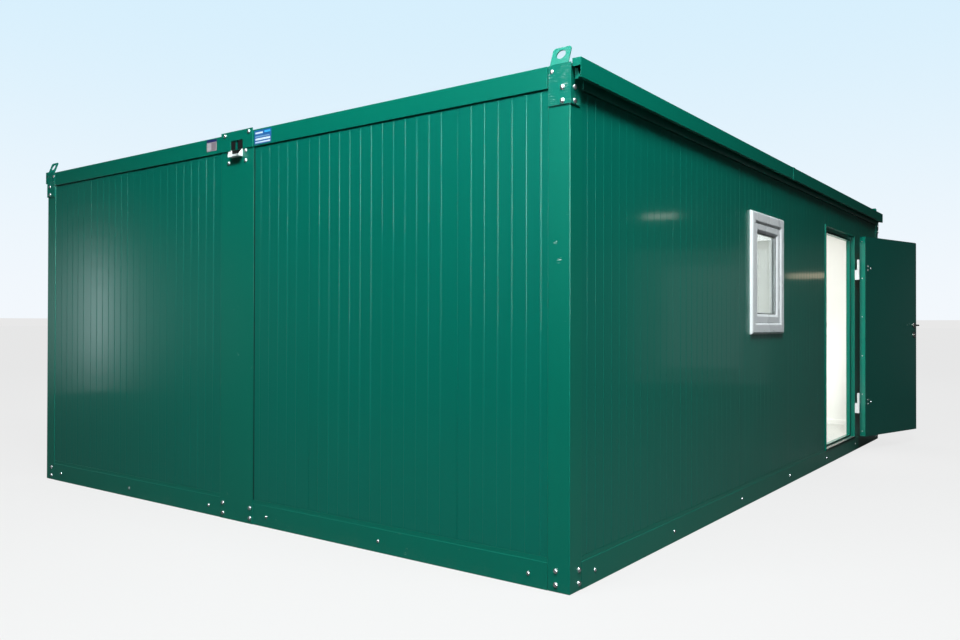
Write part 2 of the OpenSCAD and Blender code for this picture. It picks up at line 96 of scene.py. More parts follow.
hinge = next(j for j in frame["joints"] if j["name"] == "door_hinge")
PIN = Vector(hinge["pos_m"])
OPEN_TURN = -math.radians(hinge["range_deg"][0])
SWING = Matrix.Translation(PIN) @ Matrix.Rotation(OPEN_TURN, 4, "Z") @ Matrix.Translation(-PIN)


def shut_box(node):
    """Corners of a node of the door as it lies when the leaf is shut."""
    back = SWING.inverted()
    points = [back @ v.co for v in NODES[node].data.vertices]
    return (Vector(min(p[i] for p in points) for i in range(3)),
            Vector(max(p[i] for p in points) for i in range(3)))


leaf_lo, leaf_hi = shut_box("door_leaf")
grip_lo, grip_hi = shut_box("door_handle")

# ---- node helpers


def wire(tree, node_type, inputs=None, **settings):
    """Adds a node, sets its properties and fills or links its inputs by name or number."""
    node = tree.nodes.new(node_type)
    for key, value in settings.items():
        setattr(node, key, value)
    for key, value in (inputs or {}).items():
        if isinstance(value, bpy.types.NodeSocket):
            tree.links.new(value, node.inputs[key])
        else:
            node.inputs[key].default_value = value
    return node


def new_group(name, inputs, outputs):
    """Shader node group with named inputs and outputs, and its two end nodes."""
    kinds = {"c": "NodeSocketColor", "f": "NodeSocketFloat", "v": "NodeSocketVector"}
    group = bpy.data.node_groups.new(name, "ShaderNodeTree")
    for label, kind, value in inputs:
        socket = group.interface.new_socket(label, in_out="INPUT", socket_type=kinds[kind])
        socket.default_value = value
    for label, kind in outputs:
        group.interface.new_socket(label, in_out="OUTPUT", socket_type=kinds[kind])
    return group, group.nodes.new("NodeGroupInput"), group.nodes.new("NodeGroupOutput")


def math_node(tree, operation, a, b=0.0, clamp=False):
    node = wire(tree, "ShaderNodeMath", {0: a, 1: b}, operation=operation)
    node.use_clamp = clamp
    return node.outputs[0]


def times(tree, a, b):
    return math_node(tree, "MULTIPLY", a, b)


def plus(tree, a, b, clamp=False):
    return math_node(tree, "ADD", a, b, clamp)


def minus(tree, a, b):
    return math_node(tree, "SUBTRACT", a, b)


def mix_colour(tree, factor, a, b):
    return wire(tree, "ShaderNodeMix", {0: factor, 6: a, 7: b}, data_type="RGBA").outputs[2]


def fade(tree, value, low, high, to_low=0.0, to_high=1.0):
    """Smooth change from one value to another between two limits."""
    node = wire(tree, "ShaderNodeMapRange", {0: value, 1: low, 2: high, 3: to_low, 4: to_high},
                interpolation_type="SMOOTHSTEP")
    return node.outputs[0]


def stretched(tree, scale=(1, 1, 1), turn=(0, 0, 0), shift=(0, 0, 0)):
    """Object coordinates turned, stretched and shifted."""
    here = wire(tree, "ShaderNodeTexCoord").outputs["Object"]
    return wire(tree, "ShaderNodeMapping", {"Vector": here, "Location": shift, "Rotation": turn,
                                            "Scale": scale}).outputs[0]


def noise(tree, vector, scale, detail=2.0, rough=0.5):
    return wire(tree, "ShaderNodeTexNoise", {"Vector": vector, "Scale": scale, "Detail": detail,
                                             "Roughness": rough}).outputs[0]


def linear(r, g, b):
    """Linear colour from the usual 0 to 255 values."""
    return tuple(((c / 255) / 12.92 if c <= 10 else (((c / 255) + 0.055) / 1.055) ** 2.4)
                 for c in (r, g, b)) + (1.0,)


# ---- shared effects


def make_cloudiness():
    """Slow and fine colour variation with vertical run-off streaks, for coated sheet."""
    tree, start, end = new_group(
        "coating_variation",
        [("Colour", "c", (0.5, 0.5, 0.5, 1)), ("Clouds", "f", 0.1), ("Streaks", "f", 0.1),
         ("Roughness", "f", 0.3), ("Smudges", "f", 0.1), ("Peel scale", "f", 350.0)],
        [("Colour", "c"), ("Roughness", "f"), ("Height", "f")])
    here = stretched(tree)
    cloud = noise(tree, here, 1.1, 4.0)
    streak = noise(tree, stretched(tree, (26, 26, 0.55)), 1.0, 4.0, 0.6)
    smudge = noise(tree, stretched(tree, (3.2, 3.2, 1.4)), 1.0, 5.0, 0.65)
    cloud_part = times(tree, minus(tree, cloud, 0.5), start.outputs["Clouds"])
    streak_part = times(tree, minus(tree, streak, 0.5), start.outputs["Streaks"])
    shade = plus(tree, plus(tree, cloud_part, streak_part), 1.0)
    scaled = wire(tree, "ShaderNodeVectorMath", {0: start.outputs["Colour"]}, operation="SCALE")
    tree.links.new(shade, scaled.inputs["Scale"])
    smudge_part = times(tree, minus(tree, smudge, 0.5), start.outputs["Smudges"])
    rough = plus(tree, start.outputs["Roughness"], smudge_part)
    peel = noise(tree, here, start.outputs["Peel scale"], 2.0)
    tree.links.new(scaled.outputs[0], end.inputs["Colour"])
    tree.links.new(rough, end.inputs["Roughness"])
    tree.links.new(peel, end.inputs["Height"])
    return tree


def make_scratches():
    """Mask of short thin scratches in three directions."""
    tree, start, end = new_group(
        "scratch_marks", [("Density", "f", 0.3), ("Fineness", "f", 60.0)], [("Mask", "f")])
    worst = None
    for turn, shift in ((0.35, 3.1), (-0.8, 7.7), (1.25, 12.9)):
        lines = noise(tree, wire(tree, "ShaderNodeVectorMath", {
            0: stretched(tree, (0.12, 0.12, 1.6), (turn, turn, 0), (shift, shift, shift)),
            "Scale": start.outputs["Fineness"]}, operation="SCALE").outputs[0], 1.0, 1.0)
        thin = fade(tree, math_node(tree, "ABSOLUTE", minus(tree, lines, 0.5)), 0.012, 0.002)
        patch = fade(tree, noise(tree, stretched(tree, shift=(shift, 0, 0)), 14.0, 3.0),
                     minus(tree, 0.75, start.outputs["Density"]), 0.8)
        mark = times(tree, thin, patch)
        worst = mark if worst is None else math_node(tree, "MAXIMUM", worst, mark)
    tree.links.new(worst, end.inputs["Mask"])
    return tree


def make_dust():
    """Mask of pale dust that is thickest at the ground and fades out upwards."""
    tree, start, end = new_group(
        "ground_dust", [("Reach", "f", 0.3), ("Amount", "f", 0.3)], [("Mask", "f")])
    height = wire(tree, "ShaderNodeSeparateXYZ", {0: stretched(tree)}).outputs["Z"]
    uneven = times(tree, noise(tree, stretched(tree, (5, 5, 1.3)), 1.0, 4.0), 0.25)
    fall = fade(tree, plus(tree, height, uneven), start.outputs["Reach"], 0.02)
    grain = fade(tree, noise(tree, stretched(tree), 90.0, 3.0), 0.35, 0.7)
    tree.links.new(times(tree, times(tree, fall, grain), start.outputs["Amount"]), end.inputs["Mask"])
    return tree


def make_brushing():
    """Fine parallel grain of rolled or brushed metal along one axis."""
    tree, start, end = new_group(
        "brushed_grain", [("Stretch", "v", (1, 1, 1)), ("Fineness", "f", 400.0)],
        [("Value", "f"), ("Height", "f")])
    here = wire(tree, "ShaderNodeTexCoord").outputs["Object"]
    along = wire(tree, "ShaderNodeVectorMath", {0: here, 1: start.outputs["Stretch"]},
                 operation="MULTIPLY").outputs[0]
    grain = noise(tree, along, start.outputs["Fineness"], 3.0)
    tree.links.new(fade(tree, grain, 0.3, 0.7), end.inputs["Value"])
    tree.links.new(grain, end.inputs["Height"])
    return tree


CLOUDINESS, SCRATCHES, DUST, BRUSHING = make_cloudiness(), make_scratches(), make_dust(), make_brushing()

# ---- materials


def new_material(name, **plain):
    """Material with a Principled shader whose plain numbers sit on its own sockets."""
    material = bpy.data.materials.new(name)
    material.use_nodes = True
    tree = material.node_tree
    shader = tree.nodes["Principled BSDF"]
    for key, value in plain.items():
        shader.inputs[key.replace("_", " ")].default_value = value
    return material, tree, shader


def use(tree, group, **values):
    """A shared effect inside a material, with its inputs filled or linked."""
    inputs = {key.replace("_", " "): value for key, value in values.items()}
    return wire(tree, "ShaderNodeGroup", inputs, node_tree=group)


def dress(tree, shader, shade, rough, height, strength, distance):
    """Links colour, roughness and bump to a material's shader."""
    node = wire(tree, "ShaderNodeBump", {"Height": height, "Strength": strength, "Distance": distance})
    for value, key in ((shade, "Base Color"), (rough, "Roughness"), (node.outputs[0], "Normal")):
        tree.links.new(value, shader.inputs[key])


def coated(name, colour, roughness=0.3, clouds=0.12, streaks=0.1, smudges=0.1, peel=350.0,
           dust=0.0, dust_reach=0.35, scratches=0.0, fineness=60.0, bare=(0.62, 0.72, 0.7, 1),
           bumpiness=0.06, **plain):
    """Painted or plastic surface built from the shared effects."""
    material, tree, shader = new_material(name, **plain)
    film = use(tree, CLOUDINESS, Colour=colour, Clouds=clouds, Streaks=streaks,
               Roughness=roughness, Smudges=smudges, Peel_scale=peel)
    shade, rough = film.outputs["Colour"], film.outputs["Roughness"]
    if scratches:
        marks = use(tree, SCRATCHES, Density=scratches, Fineness=fineness).outputs[0]
        shade = mix_colour(tree, marks, shade, bare)
        rough = plus(tree, rough, times(tree, marks, 0.3), clamp=True)
    if dust:
        dirt = use(tree, DUST, Reach=dust_reach, Amount=dust).outputs[0]
        shade = mix_colour(tree, dirt, shade, linear(150, 150, 140))
        rough = plus(tree, rough, times(tree, dirt, 0.5), clamp=True)
    dress(tree, shader, shade, rough, film.outputs["Height"], bumpiness, 0.4 * MM)
    return material


def metal(name, colour, roughness, stretch, fineness=400.0, contrast=0.18, strength=0.1, **plain):
    """Rolled, brushed or plated metal with a grain along one axis."""
    material, tree, shader = new_material(name, Metallic=1.0, **plain)
    grain = use(tree, BRUSHING, Stretch=stretch, Fineness=fineness)
    film = use(tree, CLOUDINESS, Colour=colour, Clouds=0.25, Streaks=0.05,
               Roughness=roughness, Smudges=0.15, Peel_scale=200.0)
    dark = tuple(c * (1 - contrast) for c in colour[:3]) + (1.0,)
    shade = mix_colour(tree, grain.outputs["Value"], dark, film.outputs["Colour"])
    dress(tree, shader, shade, film.outputs["Roughness"], grain.outputs["Height"], strength, 0.2 * MM)
    return material


def galvanised_sheet():
    """Zinc coating with its crystal spangle."""
    material, tree, shader = new_material("galvanised_sheet", Metallic=0.85)
    cells = wire(tree, "ShaderNodeTexVoronoi", {"Vector": stretched(tree), "Scale": 60.0},
                 feature="F1")
    value = wire(tree, "ShaderNodeSeparateColor", {0: cells.outputs["Color"]}).outputs[0]
    shade = mix_colour(tree, value, linear(150, 155, 158), linear(190, 194, 196))
    film = use(tree, CLOUDINESS, Colour=shade, Clouds=0.3, Streaks=0.1, Roughness=0.42, Smudges=0.2)
    rough = plus(tree, film.outputs["Roughness"], times(tree, value, 0.12))
    dress(tree, shader, film.outputs["Colour"], rough, value, 0.05, 0.3 * MM)
    return material


def vinyl():
    """Light grey sheet flooring with fine flecks."""
    material, tree, shader = new_material("floor_vinyl", Coat_Weight=0.1)
    fleck = fade(tree, noise(tree, stretched(tree), 420.0, 2.0), 0.56, 0.62)
    tint = fade(tree, noise(tree, stretched(tree), 260.0, 2.0), 0.4, 0.6)
    shade = mix_colour(tree, tint, linear(196, 197, 192), linear(212, 212, 207))
    shade = mix_colour(tree, times(tree, fleck, 0.5), shade, linear(140, 143, 142))
    film = use(tree, CLOUDINESS, Colour=shade, Clouds=0.08, Streaks=0.0, Roughness=0.45, Smudges=0.2)
    dress(tree, shader, film.outputs["Colour"], film.outputs["Roughness"], fleck, 0.04, 0.3 * MM)
    return material


def glazing():
    """Clear glass with faint smears."""
    material, tree, shader = new_material("window_glazing", Transmission_Weight=1.0, IOR=1.45,
                                          Base_Color=(0.93, 0.97, 0.97, 1))
    smear = noise(tree, stretched(tree, (2.5, 2.5, 7)), 1.0, 4.0)
    tree.links.new(fade(tree, smear, 0.45, 0.75, 0.0, 0.035), shader.inputs["Roughness"])
    return material


def label(name, ground, bars, box):
    """Blank sticker: a plain ground with coloured bars, each (low, high, left, right, colour)."""
    material, tree, shader = new_material(name, Coat_Weight=0.3)
    place = wire(tree, "ShaderNodeSeparateXYZ", {0: stretched(tree)})
    (x0, z0), (x1, z1) = box

    def between(value, low, high):
        return times(tree, math_node(tree, "GREATER_THAN", value, low),
                     math_node(tree, "LESS_THAN", value, high))

    shade = ground
    for low, high, left, right, colour in bars:
        rows = between(place.outputs["Z"], z0 + low * (z1 - z0), z0 + high * (z1 - z0))
        across = between(place.outputs["X"], x0 + left * (x1 - x0), x0 + right * (x1 - x0))
        shade = mix_colour(tree, times(tree, rows, across), shade, colour)
    film = use(tree, CLOUDINESS, Colour=shade, Clouds=0.15, Streaks=0.1, Roughness=0.35, Smudges=0.2)
    dress(tree, shader, film.outputs["Colour"], film.outputs["Roughness"], film.outputs["Height"],
          0.03, 0.1 * MM)
    return material


SHEEN = (0.12, 0.9, 0.75, 1)
PANEL_GREEN = (0.0004, 0.135, 0.096, 1)
RAIL_GREEN = (0.0005, 0.145, 0.098, 1)
LUG_GREEN = (0.0008, 0.155, 0.11, 1)
# The door green is a darker copy of the wall green: the darkening is painted shade on the opened leaf.
SHADED_DOOR_GREEN = (0.0006, 0.088, 0.066, 1)
panel_paint = coated("panel_coating", PANEL_GREEN, 0.33, clouds=0.05, streaks=0.05, smudges=0.05,
                     dust=0.04, bumpiness=0.012, Specular_Tint=SHEEN, Coat_Weight=0.4,
                     Coat_Roughness=0.07)
rail_paint = coated("rail_coating", RAIL_GREEN, 0.34, clouds=0.05, streaks=0.03, smudges=0.06,
                    dust=0.1, dust_reach=0.2, scratches=0.03, fineness=60.0, bumpiness=0.012,
                    Specular_Tint=SHEEN, Coat_Weight=0.35, Coat_Roughness=0.12)
lug_paint = coated("lug_coating", LUG_GREEN, 0.42, clouds=0.2, streaks=0.05, scratches=0.22,
                   fineness=90.0, bumpiness=0.015, Specular_Tint=SHEEN, Specular_IOR_Level=0.25,
                   Coat_Weight=0.08, Coat_Roughness=0.3)
shaded_door_paint = coated("door_coating", SHADED_DOOR_GREEN, 0.35, clouds=0.06, streaks=0.04, scratches=0.02,
                    bumpiness=0.012, Specular_Tint=SHEEN, Coat_Weight=0.3, Coat_Roughness=0.15)
lining_paint = coated("lining_coating", linear(236, 236, 232), 0.45, clouds=0.03, streaks=0.02)
upvc_white = coated("upvc_white", linear(238, 240, 242), 0.28, clouds=0.03, streaks=0.04, peel=120.0,
                    bumpiness=0.02)
hinge_white = coated("hinge_cover_white", linear(232, 233, 234), 0.35, clouds=0.06, streaks=0.05)
# Black for the real seals and gaskets, and for the sheets of painted shade.
seal_black = coated("seal_black", linear(15, 16, 17), 0.65, clouds=0.2, streaks=0.1, peel=600.0,
                    Specular_IOR_Level=0.15)
zinc_plate = metal("zinc_plated", linear(214, 216, 218), 0.28, (1, 1, 1), 900.0, 0.12)
cut_edge = metal("bare_cut_edge", linear(214, 220, 218), 0.35, (1, 1, 6), 700.0, 0.1)
satin_metal = metal("satin_door_metal", linear(176, 173, 168), 0.3, (1, 1, 8), 600.0, 0.15)
strip_metal = metal("threshold_metal", linear(205, 204, 200), 0.36, (8, 0.3, 8), 300.0, 0.15)
spacer_metal = metal("spacer_metal", linear(186, 190, 192), 0.4, (1, 1, 1), 300.0, 0.1)
galvanised = galvanised_sheet()
floor_vinyl = vinyl()
glass_clear = glazing()

# ---- mesh helpers


class Stock:
    """Closed shapes gathered for one piece."""

    def __init__(self):
        self.points, self.faces = [], []

    def add(self, points, faces):
        first = len(self.points)
        self.points += [Vector(p) for p in points]
        self.faces += [[first + i for i in face] for face in faces]
        return self

    def block(self, lo, hi):
        x0, y0, z0 = (min(a, b) for a, b in zip(lo, hi))
        x1, y1, z1 = (max(a, b) for a, b in zip(lo, hi))
        return self.add(
            [(x0, y0, z0), (x1, y0, z0), (x1, y1, z0), (x0, y1, z0),
             (x0, y0, z1), (x1, y0, z1), (x1, y1, z1), (x0, y1, z1)],
            [(0, 3, 2, 1), (4, 5, 6, 7), (0, 1, 5, 4), (1, 2, 6, 5), (2, 3, 7, 6), (3, 0, 4, 7)])

    def prism(self, outline, at, a, b):
        """Outline swept from a to b. at(u, v, w) gives the place of a point."""
        n = len(outline)
        points = [at(u, v, w) for w in (a, b) for u, v in outline]
        sides = [(i, (i + 1) % n, n + (i + 1) % n, n + i) for i in range(n)]
        return self.add(points, sides + [tuple(range(n)), tuple(range(n, 2 * n))])

    def ring_sweep(self, section, corners, at):
        """Section of (inset, height) points swept round a rectangle with mitred corners."""
        (u0, v0), (u1, v1) = corners
        points, n = [], len(section)
        for cu, cv, su, sv in ((u0, v0, 1, 1), (u1, v0, -1, 1), (u1, v1, -1, -1), (u0, v1, 1, -1)):
            points += [at(cu + su * inset, cv + sv * inset, height) for inset, height in section]
        faces = [(k * n + i, k * n + (i + 1) % n, ((k + 1) % 4) * n + (i + 1) % n, ((k + 1) % 4) * n + i)
                 for k in range(4) for i in range(n)]
        return self.add(points, faces)

    def turned(self, profile, place, steps=32):
        """Profile of (radius, height) points turned round the local Z axis of place."""
        points, faces, rows = [], [], []
        for r, h in profile:
            if r < 1e-7:
                rows.append([len(points)])
                points.append(place @ Vector((0, 0, h)))
            else:
                rows.append(list(range(len(points), len(points) + steps)))
                points += [place @ Vector((r * math.cos(2 * math.pi * k / steps),
                                           r * math.sin(2 * math.pi * k / steps), h))
                           for k in range(steps)]
        closed = rows + ([rows[0]] if len(rows[0]) > 1 and len(rows[-1]) > 1 else [])
        for a, b in zip(closed, closed[1:]):
            for k in range(steps):
                m = (k + 1) % steps
                if len(a) == 1:
                    faces.append((a[0], b[k], b[m]))
                elif len(b) == 1:
                    faces.append((a[k], a[m], b[0]))
                else:
                    faces.append((a[k], a[m], b[m], b[k]))
        return self.add(points, faces)

    def tube(self, path, radii, steps=20):
        """Round bar along a path, with a radius for each of its points."""
        points, faces = [], []
        side = Vector((0, 0, 1))
        for i, (p, r) in enumerate(zip(path, radii)):
            ahead = (path[min(i + 1, len(path) - 1)] - path[max(i - 1, 0)]).normalized()
            side = (side - ahead * side.dot(ahead)).normalized()
            other = ahead.cross(side)
            points += [p + (side * math.cos(2 * math.pi * k / steps)
                            + other * math.sin(2 * math.pi * k / steps)) * r for k in range(steps)]
        for i in range(len(path) - 1):
            for k in range(steps):
                m = (k + 1) % steps
                faces.append((i * steps + k, i * steps + m, (i + 1) * steps + m, (i + 1) * steps + k))
        last = (len(path) - 1) * steps
        faces += [tuple(range(steps)), tuple(range(last, last + steps))]
        return self.add(points, faces)


def new_object(name, data):
    obj = bpy.data.objects.new(name, data)
    bpy.context.scene.collection.objects.link(obj)
    return obj


def facing(direction):
    """Turn that points a local Z along a direction."""
    return tuple(Vector(direction).to_track_quat("Z", "Y").to_euler())


def offsets(x, *pairs):
    """Section points from pairs of millimetres: inset, and distance out from x."""
    return [(inset * MM, x + out * MM) for inset, out in pairs]


def smooth(mesh, degrees=35):
    mesh.shade_smooth()
    mesh.set_sharp_from_angle(angle=math.radians(degrees))


def settle(obj, name, body, stands_for=()):
    """Names a finished piece, and says what it rides on and what it stands for."""
    obj.name = name
    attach(obj, body)
    if stands_for:
        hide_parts(*stands_for)
    return obj


def plain_mesh(obj):
    """Turns an object with modifiers into one with a plain mesh."""
    bpy.context.view_layer.update()
    ready = obj.evaluated_get(bpy.context.evaluated_depsgraph_get())
    mesh = bpy.data.meshes.new_from_object(ready)
    obj.modifiers.clear()
    obj.data = mesh
    return obj


def rounded(obj, width, segments=2, degrees=30):
    """Rounds the edges of a piece and keeps its flats flat."""
    edge = obj.modifiers.new("edge", "BEVEL")
    edge.width, edge.segments = width, segments
    edge.limit_method, edge.angle_limit = "ANGLE", math.radians(degrees)
    edge.use_clamp_overlap = True
    obj.data.shade_smooth()
    flats = obj.modifiers.new("flats", "WEIGHTED_NORMAL")
    flats.keep_sharp, flats.weight = False, 100
    return plain_mesh(obj)


def made(name, stock, material, body="cabin", slot=None, bevel=0.0, segments=2, turn=None,
         stands_for=()):
    """A piece from gathered shapes, with outward faces and rounded edges."""
    mesh = bpy.data.meshes.new(name)
    mesh.from_pydata(stock.points, [], stock.faces)
    work = bmesh.new()
    work.from_mesh(mesh)
    bmesh.ops.remove_doubles(work, verts=work.verts, dist=1e-6)
    bmesh.ops.recalc_face_normals(work, faces=work.faces)
    work.to_mesh(mesh)
    work.free()
    mesh.materials.append(material)
    obj = new_object(name, mesh)
    if bevel:
        rounded(obj, bevel, segments)
    else:
        smooth(mesh)
    if turn:
        obj.data.transform(turn)
    return settle(obj, name, body, stands_for)


def reformed(name, node, material, body="cabin", bevel=1 * MM, segments=2,
             second=None, second_where=None):
    """A rounded copy of a CAD node that stands for it."""
    mesh = NODES[node].data.copy()
    mesh.materials.clear()
    mesh.materials.append(material)
    work = bmesh.new()
    work.from_mesh(mesh)
    bmesh.ops.remove_doubles(work, verts=work.verts, dist=1e-5)
    bmesh.ops.dissolve_limit(work, angle_limit=math.radians(0.5), verts=work.verts, edges=work.edges)
    if second:
        mesh.materials.append(second)
    for face in work.faces:
        face.material_index = 1 if second and second_where(face) else 0
    work.to_mesh(mesh)
    work.free()
    obj = new_object(name, mesh)
    rounded(obj, bevel, segments)
    return settle(obj, name, body, (node,))


# ---- geometry nodes


def new_tree(name, inputs):
    tree = bpy.data.node_groups.new(name, "GeometryNodeTree")
    tree.is_modifier = True
    tree.interface.new_socket("Geometry", in_out="INPUT", socket_type="NodeSocketGeometry")
    for socket_name, kind, value in inputs:
        socket = tree.interface.new_socket(socket_name, in_out="INPUT", socket_type=kind)
        if value is not None:
            socket.default_value = value
    tree.interface.new_socket("Geometry", in_out="OUTPUT", socket_type="NodeSocketGeometry")
    return tree, tree.nodes.new("NodeGroupInput"), tree.nodes.new("NodeGroupOutput")


def place_on_seats(tree, start, end, item):
    """Puts an item on every seat with the seat's own turn and stretch, as real mesh."""
    turn = wire(tree, "GeometryNodeInputNamedAttribute", {"Name": "turn"}, data_type="FLOAT_VECTOR")
    stretch = wire(tree, "GeometryNodeInputNamedAttribute", {"Name": "stretch"},
                   data_type="FLOAT_VECTOR")
    rotation = wire(tree, "FunctionNodeEulerToRotation", {0: turn.outputs[0]})
    copies = wire(tree, "GeometryNodeInstanceOnPoints", {
        "Points": start.outputs["Geometry"], "Instance": item,
        "Rotation": rotation.outputs[0], "Scale": stretch.outputs[0]})
    real = wire(tree, "GeometryNodeRealizeInstances", {0: copies.outputs[0]})
    painted = wire(tree, "GeometryNodeSetMaterial", {
        "Geometry": real.outputs[0], "Material": start.outputs["Material"]})
    tree.links.new(painted.outputs[0], end.inputs["Geometry"])


def make_rib_tree():
    """Half-round rib of unit length that stands on a sheet."""
    tree, start, end = new_tree("rolled_rib", [
        ("Rib width", "NodeSocketFloat", 6 * MM), ("Rib height", "NodeSocketFloat", 1 * MM),
        ("Material", "NodeSocketMaterial", None)])
    arc = wire(tree, "GeometryNodeCurveArc", {"Resolution": 7, "Radius": 1.0, "Start Angle": 0.0,
                                              "Sweep Angle": math.pi}, mode="RADIUS")
    half = times(tree, start.outputs["Rib width"], 0.5)
    size = wire(tree, "ShaderNodeCombineXYZ", {0: half, 1: start.outputs["Rib height"], 2: 1.0})
    shaped = wire(tree, "GeometryNodeTransform", {"Geometry": arc.outputs[0], "Scale": size.outputs[0]})
    loop = wire(tree, "GeometryNodeSetSplineCyclic", {"Geometry": shaped.outputs[0], "Cyclic": True})
    flat = wire(tree, "GeometryNodeFillCurve", {0: loop.outputs[0]})
    raised = wire(tree, "GeometryNodeExtrudeMesh", {"Mesh": flat.outputs[0], "Offset": (0, 0, 1),
                                                    "Offset Scale": 1.0, "Individual": False})
    under = wire(tree, "GeometryNodeFlipFaces", {0: flat.outputs[0]})
    both = wire(tree, "GeometryNodeJoinGeometry")
    tree.links.new(raised.outputs[0], both.inputs[0])
    tree.links.new(under.outputs[0], both.inputs[0])
    closed = wire(tree, "GeometryNodeMergeByDistance", {"Geometry": both.outputs[0],
                                                        "Distance": 0.01 * MM})
    place_on_seats(tree, start, end, closed.outputs[0])
    return tree


def make_head_tree():
    """Domed bolt or screw head on its washer, turned round its own axis."""
    tree, start, end = new_tree("fixing_head", [
        ("Washer radius", "NodeSocketFloat", 12 * MM), ("Washer thickness", "NodeSocketFloat", 1.5 * MM),
        ("Head radius", "NodeSocketFloat", 10 * MM), ("Head height", "NodeSocketFloat", 6 * MM),
        ("Material", "NodeSocketMaterial", None)])
    both = wire(tree, "GeometryNodeJoinGeometry")

    def part(r0, r1, z, depth):
        cone = wire(tree, "GeometryNodeMeshCone", {"Vertices": 14, "Radius Bottom": r0,
                                                   "Radius Top": r1, "Depth": depth})
        lift = wire(tree, "ShaderNodeCombineXYZ", {2: z})
        moved = wire(tree, "GeometryNodeTransform", {"Geometry": cone.outputs[0],
                                                     "Translation": lift.outputs[0]})
        tree.links.new(moved.outputs[0], both.inputs[0])

    def share(value, factor):
        return times(tree, value, factor)

    washer, thick = start.outputs["Washer radius"], start.outputs["Washer thickness"]
    head, high = start.outputs["Head radius"], start.outputs["Head height"]
    part(washer, share(washer, 0.94), 0.0, thick)
    part(head, share(head, 0.93), thick, share(high, 0.45))
    part(share(head, 0.93), share(head, 0.68), plus(tree, thick, share(high, 0.45)), share(high, 0.35))
    part(share(head, 0.68), share(head, 0.3), plus(tree, thick, share(high, 0.8)), share(high, 0.2))
    place_on_seats(tree, start, end, both.outputs[0])
    return tree


RIB_TREE, HEAD_TREE = make_rib_tree(), make_head_tree()


def fixing(washer_radius, washer_thickness, head_radius, head_height):
    """Sizes of a bolt or screw head, from millimetres."""
    return dict(Washer_radius=washer_radius * MM, Washer_thickness=washer_thickness * MM,
                Head_radius=head_radius * MM, Head_height=head_height * MM)


def grown(name, tree, seats, material, body="cabin", slot=None, turn=None, degrees=35, **values):
    """Makes one piece from a tree and a list of seats: (place, turn, stretch)."""
    mesh = bpy.data.meshes.new(name + "_seats")
    mesh.from_pydata([s[0] for s in seats], [], [])
    for i, key in ((1, "turn"), (2, "stretch")):
        store = mesh.attributes.new(key, "FLOAT_VECTOR", "POINT")
        store.data.foreach_set("vector", [c for s in seats for c in s[i]])
    obj = new_object(name, mesh)
    maker = obj.modifiers.new("maker", "NODES")
    maker.node_group = tree
    values["Material"] = material
    for item in tree.interface.items_tree:
        if item.item_type == "SOCKET" and item.in_out == "INPUT":
            key = item.name.replace(" ", "_")
            if key in values:
                maker[item.identifier] = values[key]
    plain_mesh(obj)
    obj.data.materials.clear()
    obj.data.materials.append(material)
    obj.data.polygons.foreach_set("material_index", [0] * len(obj.data.polygons))
    smooth(obj.data, degrees)
    if turn:
        obj.data.transform(turn)
    return settle(obj, name, body)


# ---- walls


class Wall:
    """One outside wall: s runs along it, d outwards from the panel face and z up."""

    def __init__(self, along, out, face, inner):
        self.along, self.out, self.face, self.inner = Vector(along), Vector(out), face, inner

    def at(self, s, z, d):
        return self.along * s + self.out * (self.face + d) + UP * z

    def inside(self, s, z, d):
        """The same, with d measured inwards from the inner face."""
        return self.along * s + self.out * (self.inner - d) + UP * z

    def euler(self):
        """Turn that lays a rib on this wall: its local Y points outwards and its Z up."""
        return tuple(Matrix((self.out.cross(UP), self.out, UP)).transposed().to_euler())


FRONT = Wall((1, 0, 0), (0, -1, 0), PANEL_Y, INNER_Y)
BACK = Wall((-1, 0, 0), (0, 1, 0), PANEL_Y, INNER_Y)
DOOR_SIDE = Wall((0, 1, 0), (1, 0, 0), PANEL_X, INNER_X)
PLAIN_SIDE = Wall((0, -1, 0), (-1, 0, 0), PANEL_X, INNER_X)

RIB_PITCH = 75 * MM
WIDE_PAN = 100 * MM
SHEET = 1.6 * MM
RIB_WIDTH, RIB_HEIGHT = 7 * MM, 0.9 * MM
SEAM = 2.4 * MM
GAP_Z = 1.5 * MM
RIB_STOP = 22 * MM
PLAIN = (1, 1, 1)


def slab(stock, at, s0, s1, z0, z1, d0, d1, hole=None):
    """Flat sheet on a wall, with a rectangular hole if one is given."""
    outer = [(s0, z0), (s1, z0), (s1, z1), (s0, z1)]
    if not hole:
        return stock.prism(outer, at, d0, d1)
    h0, h1, g0, g1 = hole
    inner = [(h0, g0), (h1, g0), (h1, g1), (h0, g1)]
    points = [at(s, z, d) for d in (d0, d1) for s, z in outer + inner]
    faces = []
    for k in range(4):
        m = (k + 1) % 4
        faces += [(k, m, 4 + m, 4 + k), (8 + k, 8 + m, 12 + m, 12 + k),
                  (k, m, 8 + m, 8 + k), (4 + k, 4 + m, 12 + m, 12 + k)]
    return stock.add(points, faces)


def rib_places(lo, hi, joints, wide_side):
    """Rib places between lo and hi. The wide pan lies on wide_side (1 or -1) of each joint."""
    edges = [lo] + sorted(joints) + [hi]
    places = []
    for a, b in zip(edges, edges[1:]):
        if wide_side > 0:
            begin = a + WIDE_PAN if a != lo else b - RIB_PITCH * math.floor((b - lo) / RIB_PITCH - 0.3)
            places += [s for s in (begin + k * RIB_PITCH for k in range(40)) if s < b - 0.4 * RIB_PITCH]
        else:
            begin = b - WIDE_PAN if b != hi else a + RIB_PITCH * math.floor((hi - a) / RIB_PITCH - 0.3)
            places += [s for s in (begin - k * RIB_PITCH for k in range(40)) if s > a + 0.4 * RIB_PITCH]
    return sorted(places)


FRAME_LAP = 20 * MM
win_hole = (win_lo.y + FRAME_LAP, win_hi.y - FRAME_LAP, win_lo.z + FRAME_LAP, win_hi.z - FRAME_LAP)
door_hole = (jamb_lo.y, jamb_hi.y, 0.0, head_hi.z)


